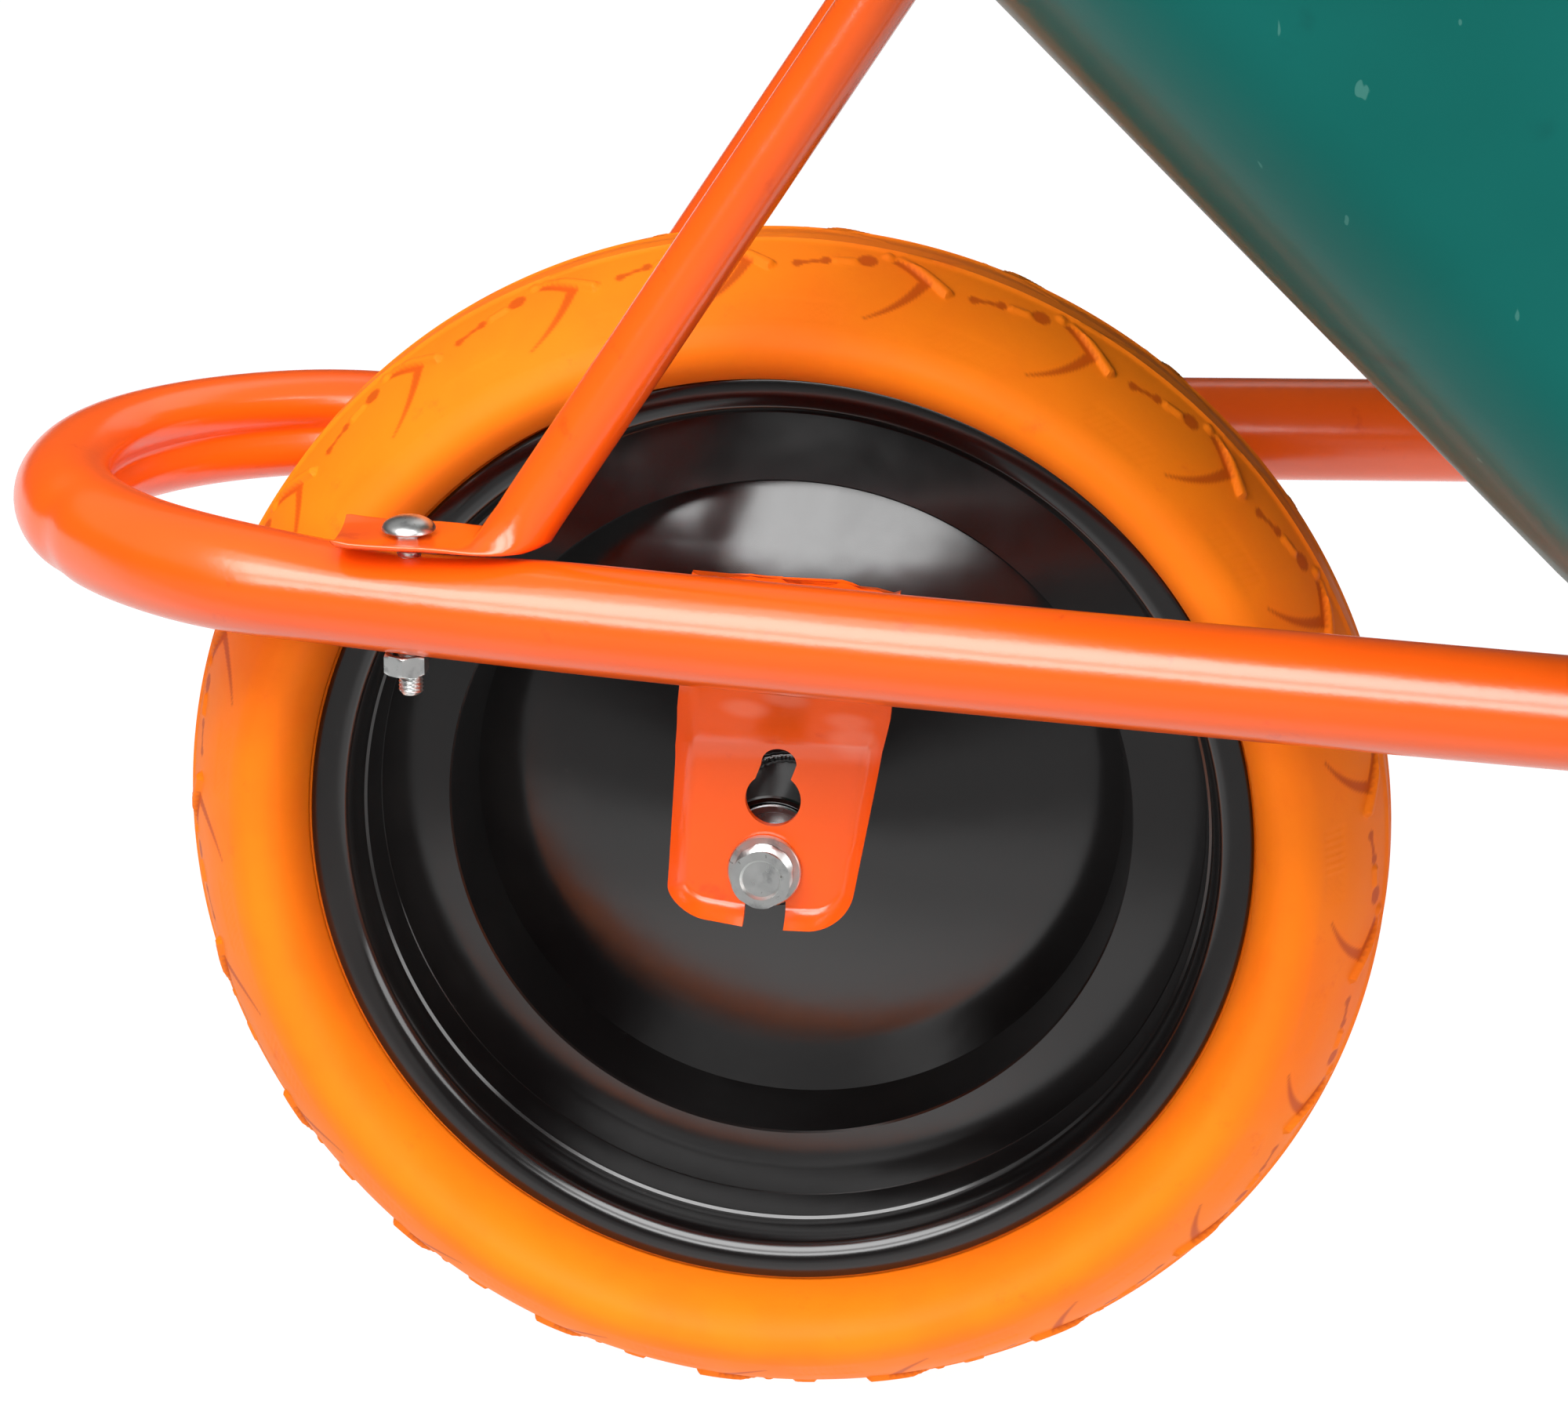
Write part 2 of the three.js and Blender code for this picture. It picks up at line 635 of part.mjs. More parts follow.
function tray() {
  const rings = [];
  const steps = [0, 0.33, 0.67, 1];
  const height = (s) => TRAY_FLOOR_Z + TRAY_FILLET * s ** 2;
  steps.forEach((s) => rings.push(trayRing(filletSize(s, 0), height(s))));
  const wallTop = 1 - (2 * RIM_ROLL) / (TRAY_RIM_Z - TRAY_FLOOR_Z);
  rings.push(trayRing(traySize(wallTop, 0), TRAY_RIM_Z - 2 * RIM_ROLL));
  rings.push(trayRing(traySize(1, 2 * RIM_ROLL), TRAY_RIM_Z - 1.7 * RIM_ROLL));
  rings.push(trayRing(traySize(1, 2 * RIM_ROLL), TRAY_RIM_Z - 0.4 * RIM_ROLL));
  rings.push(trayRing(traySize(1, RIM_ROLL), TRAY_RIM_Z));
  rings.push(trayRing(traySize(1, -TRAY_SHEET), TRAY_RIM_Z - 1));
  for (const s of [...steps].reverse()) {
    rings.push(trayRing(filletSize(s, -TRAY_SHEET), height(s) + TRAY_SHEET));
  }
  return loft(rings);
}

function addTray() {
  const floorHoles = BEARER_X.flatMap((x) =>
    [-TRAY_BOLT_Y, TRAY_BOLT_Y].map((y) => drill([x, y, TRAY_FLOOR_Z], [0, 0, 1], BOLT_HOLE_RADIUS, 20)),
  );
  const wallHoles = [strutY, -strutY].map((y) =>
    drill([trayFrontX(STRUT_TOP.bolt), y, STRUT_TOP.bolt], wallOut.toArray(), BOLT_HOLE_RADIUS, 20),
  );
  add("tray", cut(tray(), [...floorHoles, ...wallHoles]), GREEN_PAINT);

  const deep = 18;
  const wide = 36;
  const sheet = 2;
  const bearerInset = TUBE_RADIUS + 3; // side tube and weld
  BEARER_X.forEach((x, i) => {
    const end = i === 0 ? "front" : "rear";
    const narrowEnd = Math.max(x - wide / 2, TUBE_JOINT_X + TUBE_JOINT_GAP);
    const reach = -handleAt(narrowEnd).point.y - bearerInset;
    const channel = new THREE.BoxGeometry(wide, 2 * reach, deep);
    const hollow = new THREE.BoxGeometry(wide - 2 * sheet, 2 * reach + 4, deep);
    hollow.translate(0, 0, -sheet);
    const boltSides = [-TRAY_BOLT_Y, TRAY_BOLT_Y];
    const holes = boltSides.map((y) => drill([0, y, 0], [0, 0, 1], BOLT_HOLE_RADIUS, 40));
    const top = TRAY_FLOOR_Z - GAP;
    const bearer = cut(channel, [hollow, ...holes]).translate(x, 0, top - deep / 2);
    add(`tray_bearer_${end}`, bearer, ORANGE_PAINT);
    const down = [0, 0, -1];
    const at = (z) => [x, -TRAY_BOLT_Y, z];
    const headZ = TRAY_FLOOR_Z + TRAY_SHEET + GAP;
    addPair(`tray_bolt_${end}`, aimed(carriageBolt(20), at(headZ), down), ZINC);
    const washerThickness = 1.6;
    const washer = ring(BOLT_HOLE_RADIUS, 8.5, 0, washerThickness, 12);
    const washerZ = top - sheet - GAP;
    addPair(`tray_washer_${end}`, aimed(washer, at(washerZ), down), ZINC);
    addPair(`tray_nut_${end}`, aimed(m8Nut(), at(washerZ - washerThickness - GAP), down), ZINC);
  });
}

// ---- Legs ----

function addLegs() {
  const path = bentPath(
    [
      legPoint(legFront.x - 3, legFront.z + 15),
      legPoint(FOOT_X[0], footLevel),
      legPoint(FOOT_X[1], footLevel),
      legPoint(legRear.x + 3, legRear.z + 15),
    ],
    LEG_BEND_SETBACK,
  );
  const bolts = [legFront, legRear];
  const holes = bolts.map((p) => drill(p.toArray(), legAcross, BOLT_HOLE_RADIUS, 40));
  addPair("leg", cut(tube(path, LEG_RADIUS, TUBE_WALL, 5, 26), holes), ORANGE_PAINT);

  const plateLength = FOOT_X[1] - FOOT_X[0] - 30;
  const [footX, footY] = legPoint((FOOT_X[0] + FOOT_X[1]) / 2, 0);
  const plate = new THREE.BoxGeometry(plateLength, FOOT_PLATE_WIDTH, PLATE).rotateZ(Math.atan(legSlope));
  addPair("foot_plate", plate.translate(footX, footY, PLATE / 2), ORANGE_PAINT);

  ["front", "rear"].forEach((end, i) => {
    const centre = bolts[i].toArray();
    const across = vector(legAcross).normalize();
    const onLine = (distance) => vector(centre).addScaledVector(across, distance).toArray();
    const tubeFace = -legOffset - TUBE_RADIUS - GAP;
    const bolt = hexBolt(M8_NUT.acrossFlats, 5.3, BOLT_RADIUS, 72);
    addPair(`leg_bolt_${end}`, aimed(bolt, onLine(tubeFace), legAcross), ZINC);
    addPair(`leg_nut_${end}`, aimed(m8Nut(), onLine(LEG_RADIUS + GAP), legAcross), ZINC);
  });

  const reach = -legPoint(crossbarX, 0)[1] - LEG_RADIUS - 0.6;
  const bar = new THREE.LineCurve3(
    new THREE.Vector3(crossbarX, -reach, crossbarZ),
    new THREE.Vector3(crossbarX, reach, crossbarZ),
  );
  add("leg_crossbar", tube(bar, CROSSBAR_RADIUS, TUBE_WALL, 6, 1), ORANGE_PAINT);
}

addFrame();
addGrips();
addWheel();
addAxleSet();
addStruts();
addTray();
addLegs();

// The origin is on the ground below the middle of the whole barrow.
const whole = new THREE.Box3().setFromObject(group);
group.position.x = -(whole.min.x + whole.max.x) / 2;

export default group;
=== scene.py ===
"""Single-wheel builder's wheelbarrow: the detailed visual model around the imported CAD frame.

Shapes are worked out in millimetres, x from the wheel axle towards the handles, y across and
z up from the ground; in_frame() puts them into the frame in metres.
"""

import math

import bmesh
import bpy
import numpy as np
from mathutils import Euler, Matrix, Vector


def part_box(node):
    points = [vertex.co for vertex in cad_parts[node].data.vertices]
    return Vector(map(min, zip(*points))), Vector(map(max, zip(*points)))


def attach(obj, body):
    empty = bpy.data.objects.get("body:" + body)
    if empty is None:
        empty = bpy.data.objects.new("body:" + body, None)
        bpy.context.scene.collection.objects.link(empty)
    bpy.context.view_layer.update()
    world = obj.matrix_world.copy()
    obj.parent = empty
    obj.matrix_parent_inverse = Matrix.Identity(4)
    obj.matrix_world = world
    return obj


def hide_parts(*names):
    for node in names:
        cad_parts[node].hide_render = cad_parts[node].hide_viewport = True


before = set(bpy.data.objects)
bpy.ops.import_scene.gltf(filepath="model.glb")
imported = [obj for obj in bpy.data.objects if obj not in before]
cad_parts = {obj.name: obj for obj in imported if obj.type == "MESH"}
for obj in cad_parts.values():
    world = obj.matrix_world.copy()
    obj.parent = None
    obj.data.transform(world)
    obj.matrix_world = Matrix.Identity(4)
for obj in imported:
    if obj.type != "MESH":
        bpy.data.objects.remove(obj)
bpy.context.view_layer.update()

# ---- Frame and driving sizes ----

MM = 0.001
TYRE_LOW, TYRE_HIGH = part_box("tyre")
AXLE = (TYRE_LOW + TYRE_HIGH) / 2  # metres
AXLE_HEIGHT = AXLE.z / MM

TUBE_RADIUS = 17.5
TUBE_WALL = 1.5
STRUT_RADIUS = 10.25
LEG_RADIUS = 12.5
RIM_SHEET = 1.5
TRAY_SHEET = 1.0
PLATE = 3.0
GAP = 0.3  # between pieces that touch
HUB_HALF = 36.0
AXLE_BORE = 6.4  # radius
WASHER = 2.5

# The loop's front bend starts at LOOP_START_X and its tube's front is FRONT_REACH ahead of
# the axle. The handle tubes take over at TUBE_JOINT_X.
LOOP_START_X = -147.7
FRONT_REACH = 255.5
LOOP_DEPTH = FRONT_REACH - TUBE_RADIUS + LOOP_START_X
LOOP_SQUARENESS = 2.17
TUBE_JOINT_X = 365.0
HANDLE_BEND_X = 690.0
HANDLE_TOP = (1020.0, 256.0, 478.0)
HANDLE_END = (1197.5, 284.0, 528.0)

TRAY_FLOOR_Z = 317.0
TRAY_RIM_Z = 600.0
TRAY_FLOOR = {"front": 286.5, "rear": 640.0, "half": 235.0, "corner": 70.0}
TRAY_RIM = {"front": 26.5, "rear": 850.0, "half": 335.0, "corner": 100.0}
TRAY_FILLET = 38.0
RIM_ROLL = 5.0

STRUT_BOLT_X = -108.0
LEG_FRONT_X = 415.0
LEG_REAR_X = 790.0
FOOT_X = (540.0, 665.0)
BRACKET_FACE = -54.0


def in_frame(points):
    """Millimetre points as metres in the frame."""
    return np.asarray(points, float) * MM + np.array([AXLE.x, 0.0, 0.0])


# ---- Camera, light and floor ----


CAMERA_FROM_AXLE = Vector((0.2998, -2.2187, 0.7702))  # metres
CAMERA_PITCH, CAMERA_YAW = math.radians(18.087), math.radians(7.724)
CAMERA_LENS, CAMERA_SENSOR = 163.7, 36.0


def add_object(name, data):
    thing = bpy.data.objects.new(name, data)
    bpy.context.scene.collection.objects.link(thing)
    return thing


def make_camera():
    data = bpy.data.cameras.new("camera")
    camera = add_object("camera", data)
    camera.location = AXLE + CAMERA_FROM_AXLE
    camera.rotation_euler = Euler((math.pi / 2 - CAMERA_PITCH, 0.0, CAMERA_YAW))
    data.sensor_width, data.lens = CAMERA_SENSOR, CAMERA_LENS
    data.clip_start, data.clip_end = 0.05, 60.0
    bpy.context.scene.camera = camera


def add_light(name, kind, energy, direction, location=(0, 0, 0), **settings):
    data = bpy.data.lights.new(name, kind)
    data.energy = energy
    for key, value in settings.items():
        setattr(data, key, value)
    light = add_object(name, data)
    light.location = location
    light.rotation_euler = direction.to_track_quat("-Z", "Y").to_euler()


def area_light(name, location, target, size, power):
    direction = Vector(target) - Vector(location)
    width, height = size
    add_light(name, "AREA", power, direction, location, shape="RECTANGLE", size=width, size_y=height)


def make_studio():
    wheel = (AXLE.x, -0.05, 0.25)
    area_light("key_softbox", (AXLE.x - 0.24, -1.25, 1.45), wheel, (1.9, 2.0), 27)
    area_light("key_core", (AXLE.x - 0.15, -1.28, 1.5), wheel, (2.1, 0.8), 24)
    area_light("front_panel", (AXLE.x - 0.5, -2.8, 1.24), wheel, (2.6, 0.55), 24)
    area_light("side_fill", (AXLE.x + 1.5, -0.6, 1.9), wheel, (1.0, 1.0), 39)
    area_light("right_panel", (AXLE.x + 1.7, -1.0, 0.7), wheel, (1.0, 1.0), 11)
    area_light("rear_softbox", (0.6, 2.0, 2.3), (0, 0, 0.3), (2.4, 2.0), 9)
    add_light("overhead_fill", "SUN", 0.6, Vector((0.1, 0.15, -1)), angle=math.radians(120))

    world = bpy.data.worlds.new("studio")
    world.use_nodes = True
    background = world.node_tree.nodes["Background"]
    background.inputs["Color"].default_value = (1, 1, 1, 1)
    background.inputs["Strength"].default_value = 0.07
    bpy.context.scene.world = world
    bpy.context.scene.view_settings.view_transform = "Standard"

    mesh = bpy.data.meshes.new("floor")
    half = 12.0
    corners = [(-half, -half, 0), (half, -half, 0), (half, half, 0), (-half, half, 0)]
    mesh.from_pydata(corners, [], [(0, 1, 2, 3)])
    mesh.materials.append(floor_white())
    floor = add_object("floor", mesh)


# ---- Materials ----


class Surface:
    """A Principled material with a few procedural layers on the object's own coordinates."""

    def __init__(self, name, color, roughness, metallic=0.0, coat=0.0, coat_ior=1.5,
                 coat_roughness=0.05, specular=0.5):
        self.material = bpy.data.materials.new(name)
        self.material.use_nodes = True
        self.tree = self.material.node_tree
        self.shader = self.tree.nodes["Principled BSDF"]
        self.place = self.tree.nodes.new("ShaderNodeTexCoord").outputs["Object"]
        self.color = (*color, 1.0)
        self.normal = None
        sockets = {
            "Base Color": self.color,
            "Roughness": roughness,
            "Metallic": metallic,
            "Coat Weight": coat,
            "Coat IOR": coat_ior,
            "Coat Roughness": coat_roughness,
            "Specular IOR Level": specular,
        }
        for socket, value in sockets.items():
            self.shader.inputs[socket].default_value = value

    def node(self, kind, inputs=None, **settings):
        node = self.tree.nodes.new(kind)
        for key, value in settings.items():
            setattr(node, key, value)
        for key, value in (inputs or {}).items():
            if isinstance(value, bpy.types.NodeSocket):
                self.tree.links.new(value, node.inputs[key])
            else:
                node.inputs[key].default_value = value
        return node

    def noise(self, scale, detail=3.0, roughness=0.55, stretch=(1, 1, 1), distortion=0.0):
        place = self.place
        if stretch != (1, 1, 1):
            mapping = self.node("ShaderNodeMapping", {"Vector": place, "Scale": stretch})
            place = mapping.outputs["Vector"]
        inputs = {"Vector": place, "Scale": scale, "Detail": detail}
        inputs.update({"Roughness": roughness, "Distortion": distortion})
        return self.node("ShaderNodeTexNoise", inputs).outputs["Fac"]

    def window(self, value, low, high):
        """0 below low, 1 above high, smooth between; low above high turns it round."""
        inputs = {"Value": value, "From Min": low, "From Max": high}
        node = self.node("ShaderNodeMapRange", inputs, interpolation_type="SMOOTHSTEP")
        return node.outputs["Result"]

    def math(self, operation, a, b=0.0):
        return self.node("ShaderNodeMath", {0: a, 1: b}, operation=operation).outputs[0]

    def part_of(self, mask, share):
        return self.math("MULTIPLY", mask, share)

    def distance_to(self, place):
        """The distance to a place, the same on the left and the right of the barrow."""
        folded = self.node("ShaderNodeVectorMath", {0: self.place}, operation="ABSOLUTE")
        inputs = {0: folded.outputs["Vector"], 1: place}
        return self.node("ShaderNodeVectorMath", inputs, operation="DISTANCE").outputs["Value"]

    def attribute(self, name):
        return self.node("ShaderNodeAttribute", attribute_name=name).outputs["Fac"]

    def tint(self, mask, color):
        """Mixes a colour over what is there, by a mask from 0 to 1."""
        mix = self.node("ShaderNodeMix", data_type="RGBA")
        self.tree.links.new(mask, mix.inputs["Factor"])
        if isinstance(self.color, bpy.types.NodeSocket):
            self.tree.links.new(self.color, mix.inputs["A"])
        else:
            mix.inputs["A"].default_value = self.color
        mix.inputs["B"].default_value = (*color, 1.0)
        self.color = mix.outputs["Result"]
        self.tree.links.new(self.color, self.shader.inputs["Base Color"])
        return self

    def rough(self, mask, low, high):
        inputs = {"Value": mask, "To Min": low, "To Max": high}
        spread = self.node("ShaderNodeMapRange", inputs).outputs["Result"]
        self.tree.links.new(spread, self.shader.inputs["Roughness"])
        return self

    def bump(self, height, depth_mm):
        inputs = {"Height": height, "Distance": depth_mm * MM, "Strength": 1.0}
        if self.normal is not None:
            inputs["Normal"] = self.normal
        self.normal = self.node("ShaderNodeBump", inputs).outputs["Normal"]
        for socket in ("Normal", "Coat Normal"):
            self.tree.links.new(self.normal, self.shader.inputs[socket])
        return self


def floor_white():
    """A white sweep under and behind the barrow, and a darker floor in front of it; all of it glows,
    painted light that is strongest on the sweep.
    """
    s = Surface("floor_white", (0.1, 0.1, 0.1), 0.9, specular=0.0)
    away = s.node("ShaderNodeSeparateXYZ", {0: s.place}).outputs["Y"]
    near = s.part_of(s.window(away, -0.5, -0.26), 0.45)
    sweep = s.part_of(s.window(away, -0.2, -0.08), 0.38)
    # Painted light: the emission lights the floor in place of lamps. It is least in front, more near the
    # barrow and most on the sweep behind it.
    glow = s.math("ADD", s.math("ADD", near, sweep), 0.15)
    s.tree.links.new(glow, s.shader.inputs["Emission Strength"])
    s.shader.inputs["Emission Color"].default_value = (1, 1, 1, 1)
    return s.material


# Pale pink spots painted on both brackets as painted reflection of the white floor: x, y, z from the
# axle's middle and radius, mm.
FLOOR_REFLECTION_SPOTS = ((-4, 72, 61, 6), (10.5, 80, 69, 6), (30, 59, 47, 7), (29, 68, 58, 6))


def orange_paint():
    s = Surface("orange_paint", (0.94, 0.108, 0.003), 0.4, coat=1.0, coat_ior=1.75,
                coat_roughness=0.22, specular=0.0)
    s.tint(s.window(s.noise(7, 3), 0.45, 0.75), (0.88, 0.094, 0.003))
    s.tint(s.window(s.noise(60, 4, 0.6), 0.64, 0.74), (0.82, 0.08, 0.003))
    for x, y, z, radius in FLOOR_REFLECTION_SPOTS:
        place = (abs(AXLE.x + x * MM), y * MM, AXLE.z + z * MM)
        # Painted reflection: each spot is paler and pinker than the paint, standing in for the floor seen
        # in the gloss.
        painted_reflection = s.window(s.distance_to(place), radius * 1.7 * MM, radius * 0.6 * MM)
        s.tint(s.part_of(painted_reflection, 0.6), (1.0, 0.24, 0.13))
    s.rough(s.noise(35, 4), 0.28, 0.42)
    s.bump(s.noise(420, 2), 0.05)
    return s.bump(s.noise(28, 2), 0.35)


def orange_foam():
    s = Surface("orange_foam", (1.0, 0.215, 0.006), 0.5, specular=0.14)
    s.tint(s.window(s.noise(14, 4, 0.6), 0.42, 0.72), (0.98, 0.185, 0.006))
    s.tint(s.window(s.noise(45, 5, 0.7), 0.6, 0.78), (0.92, 0.155, 0.008))
    # Painted shade: the crown band is darkened towards brown, standing in for the shade where the tread
    # turns away at the outline.
    s.tint(s.part_of(s.attribute("crown"), 0.2), (0.7, 0.13, 0.02))
    # Painted shade: the grooves and holes are darkened, standing in for the shade in the recesses.
    s.tint(s.part_of(s.attribute("groove"), 0.7), (0.45, 0.04, 0.003))
    s.rough(s.noise(40, 4), 0.44, 0.66)
    s.bump(s.noise(900, 3), 0.04)
    return s.bump(s.noise(70, 3), 0.18)


def black_enamel():
    s = Surface("black_enamel", (0.003, 0.0022, 0.0022), 0.14, specular=0.82)
    s.tint(s.window(s.noise(9, 4, 0.6), 0.5, 0.8), (0.009, 0.0075, 0.007))
    s.tint(s.window(s.noise(160, 3, 0.7), 0.68, 0.8), (0.02, 0.018, 0.017))
    s.rough(s.noise(16, 5, 0.65, distortion=0.6), 0.09, 0.24)
    return s.bump(s.noise(30, 2), 0.16)


def green_paint():
    s = Surface("green_paint", (0.003, 0.112, 0.096), 0.42, coat=0.12, coat_roughness=0.14,
                specular=0.12)
    s.tint(s.window(s.noise(5, 3), 0.4, 0.7), (0.002, 0.1, 0.084))
    smudge = s.window(s.noise(11, 4, 0.55, distortion=0.8), 0.62, 0.72)
    s.tint(s.part_of(smudge, 0.55), (0.002, 0.06, 0.056))
    scratch = s.window(s.noise(30, 2, 0.5, stretch=(5, 5, 0.35)), 0.735, 0.75)
    s.tint(s.part_of(scratch, 0.45), (0.09, 0.26, 0.22))
    s.rough(s.noise(14, 5, 0.6), 0.27, 0.46)
    s.bump(s.noise(380, 2), 0.03)
    return s.bump(s.noise(9, 2), 1.1)


def zinc():
    s = Surface("zinc", (0.68, 0.69, 0.68), 0.26, metallic=1.0)
    s.tint(s.window(s.noise(180, 3), 0.5, 0.75), (0.42, 0.43, 0.43))
    s.tint(s.window(s.noise(500, 3), 0.66, 0.74), (0.3, 0.29, 0.27))
    s.rough(s.noise(260, 4), 0.2, 0.44)
    return s.bump(s.noise(700, 3), 0.03)


def bearing_steel():
    s = Surface("bearing_steel", (0.55, 0.555, 0.565), 0.22, metallic=1.0)
    s.tint(s.window(s.noise(220, 3), 0.5, 0.75), (0.4, 0.405, 0.42))
    s.rough(s.noise(300, 3, stretch=(1, 8, 1)), 0.16, 0.34)
    return s.bump(s.noise(900, 2), 0.01)


def grip_rubber():
    s = Surface("grip_rubber", (0.013, 0.0125, 0.0125), 0.62, specular=0.4)
    s.tint(s.window(s.noise(40, 4), 0.5, 0.75), (0.024, 0.023, 0.022))
    s.rough(s.noise(70, 4), 0.5, 0.76)
    return s.bump(s.noise(1100, 2), 0.05)


SLOT_MAKERS = {
    "orange_paint": orange_paint,
    "orange_foam": orange_foam,
    "black_paint": black_enamel,
    "green_paint": green_paint,
    "zinc": zinc,
    "bearing_steel": bearing_steel,
    "grip_rubber": grip_rubber,
}
MATERIALS = {}


def finish_of(slot):
    """The material of one of the record's slots, made once."""
    if slot not in MATERIALS:
        MATERIALS[slot] = SLOT_MAKERS[slot]().material
    return MATERIALS[slot]


# ---- Mesh making ----


def shade(mesh, sharp=38):
    """Smooth shading, except at edges sharper than an angle in degrees."""
    mesh.shade_smooth()
    mesh.set_sharp_from_angle(angle=math.radians(sharp))


def add_piece(name, mesh, slot, replaces=(), body="barrow", sharp=38):
    """Links a mesh that is already in the frame as a piece of the model."""
    piece = add_object(name, mesh)
    mesh.materials.append(finish_of(slot))
    shade(mesh, sharp)
    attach(piece, body)
    if replaces:
        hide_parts(*replaces)
    return piece


def build_mesh(name, points, faces, merge=True):
    """A mesh in the frame, from millimetre points, with its faces turned outwards. Without
    merge its points keep their order."""
    mesh = bpy.data.meshes.new(name)
    mesh.from_pydata(in_frame(points).tolist(), [], faces)
    shape = bmesh.new()
    shape.from_mesh(mesh)
    if merge:
        bmesh.ops.remove_doubles(shape, verts=shape.verts, dist=1e-6)
        bmesh.ops.recalc_face_normals(shape, faces=shape.faces)
    if shape.calc_volume(signed=True) < 0:
        bmesh.ops.reverse_faces(shape, faces=shape.faces)
    shape.to_mesh(mesh)
    shape.free()
    return mesh


def skin(rings, closed=False):
    """Points and faces of a surface through rings; closed joins the last ring to the first."""
    rings = np.asarray(rings, float)
    count, sides = rings.shape[:2]
    faces = []
    for r in range(count if closed else count - 1):
        a, b = r * sides, (r + 1) % count * sides
        faces += [(a + i, a + (i + 1) % sides, b + (i + 1) % sides, b + i) for i in range(sides)]
    if not closed:
        faces.append(tuple(range(sides - 1, -1, -1)))
        faces.append(tuple(range((count - 1) * sides, count * sides)))
    return rings.reshape(-1, 3), faces


SIDES = {"left": (1, 1, 1), "right": (1, -1, 1)}


def add_single(name, points, faces, slot, **settings):
    """A piece that replaces the node of its name."""
    add_piece(f"{name}_look", build_mesh(name, points, faces), slot, (name,), **settings)


def add_pair(name, points, faces, slot, **settings):
    """The left piece as built and its mirror image on the right; each replaces the node of
    its name if there is one."""
    for side, mirror in SIDES.items():
        mesh = build_mesh(f"{name}_{side}", points * np.array(mirror), faces)
        replaces = [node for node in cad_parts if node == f"{name}_{side}"]
        add_piece(f"{name}_{side}_look", mesh, slot, replaces, **settings)


def joined(*shapes):
    """Several (points, faces) as one."""
    points, faces, start = [], [], 0
    for shape_points, shape_faces in shapes:
        points.append(np.asarray(shape_points, float))
        faces += [tuple(i + start for i in f) for f in shape_faces]
        start += len(shape_points)
    return np.concatenate(points), faces


def turn_angles(sides):
    return np.arange(sides) / sides * 2 * math.pi


def ring_at(radius, y, sides=48):
    """A ring about the y axis; radius and y are numbers, or one number for each angle."""
    angle = turn_angles(sides)
    return np.stack([radius * np.cos(angle), np.full(sides, y), radius * np.sin(angle)], -1)


def circle(radius, sides=40):
    """A flat ring of two coordinates."""
    return ring_at(radius, 0.0, sides)[:, ::2]


def arc(x, z, radius, start, end, count):
    """Points on an arc; radius is one number, or one across and one up."""
    across, up = np.broadcast_to(radius, 2)
    return [(x + across * math.cos(a), z + up * math.sin(a)) for a in np.linspace(start, end, count)]


def turned(profile, sides, threads=None):
    """A solid of revolution about the y axis. Its profile of [radius, y] points closes on
    itself, or starts and ends on the axis."""
    rings = []
    for r, y in profile:
        ring_r = np.full(sides, float(r))
        if threads and threads["from"] <= y <= threads["to"] and r > threads["core"]:
            turn = y / threads["pitch"] - turn_angles(sides) / (2 * math.pi)
            ring_r -= threads["depth"] * np.abs(2 * (turn % 1) - 1)
        rings.append(ring_at(ring_r, y, sides))
    return skin(rings, closed=all(r > 0 for r, _ in profile))


def ring_profile(inner, outer, y0, y1, cut):
    """The section of a washer or sleeve whose edges are cut off."""
    return [(inner + cut, y0), (outer - cut, y0), (outer, y0 + cut), (outer, y1 - cut),
            (outer - cut, y1), (inner + cut, y1), (inner, y1 - cut), (inner, y0 + cut)]


def aimed(shape, point, direction):
    """A shape built along +y, turned to a direction and moved to a point."""
    points, faces = shape
    turn = Vector((0, 1, 0)).rotation_difference(Vector(direction))
    return points @ np.array(turn.to_matrix()).T + np.asarray(point, float), faces


def on_axle(shape, y=0.0):
    """A shape built about the y axis, moved up to the axle and along it."""
    points, faces = shape
    return points + (0, y, AXLE_HEIGHT), faces


def sweep(path, section, reference):
    """Rings of a section along a path. section(i) gives [across, up] points; the reference
    is square to the plane that the path bends in."""
    path = np.asarray(path, float)
    tangents = np.gradient(path, axis=0)
    tangents /= np.linalg.norm(tangents, axis=1)[:, None]
    across = np.cross(tangents, reference)
    across /= np.linalg.norm(across, axis=1)[:, None]
    up = np.cross(across, tangents)
    rings = []
    for i, point in enumerate(path):
        flat = section(i)
        rings.append(point + flat[:, :1] * across[i] + flat[:, 1:] * up[i])
    return np.array(rings)


def pipe(path, radius, wall, sides=40, reference=(0, 0, 1), shaped=lambda i, ring: ring):
    """A hollow tube open at both ends; shaped(i, ring) presses the ring at path[i]."""
    outer = sweep(path, lambda i: shaped(i, circle(radius, sides)), reference)
    inner = sweep(path, lambda i: shaped(i, circle(radius - wall, sides)), reference)
    return skin(np.concatenate([outer, inner[::-1]]), closed=True)


def bent_path(corners, setback, step=4.0):
    """Straight lines whose corners are rounded by curves starting setback before them."""
    corners = [np.asarray(c, float) for c in corners]
    points = [corners[0]]

    def line_to(target):
        start = points[-1]
        steps = max(2, int(np.linalg.norm(target - start) / (step * 3)))
        points.extend(start + (target - start) * (k / steps) for k in range(1, steps + 1))

    for before, corner, after in zip(corners, corners[1:], corners[2:]):
        back = corner + (before - corner) / np.linalg.norm(before - corner) * setback
        ahead = corner + (after - corner) / np.linalg.norm(after - corner) * setback
        line_to(back)
        steps = int(2 * setback / step)
        for k in range(1, steps + 1):
            t = k / steps
            points.append((1 - t) ** 2 * back + 2 * t * (1 - t) * corner + t**2 * ahead)
    line_to(corners[-1])
    return np.array(points)


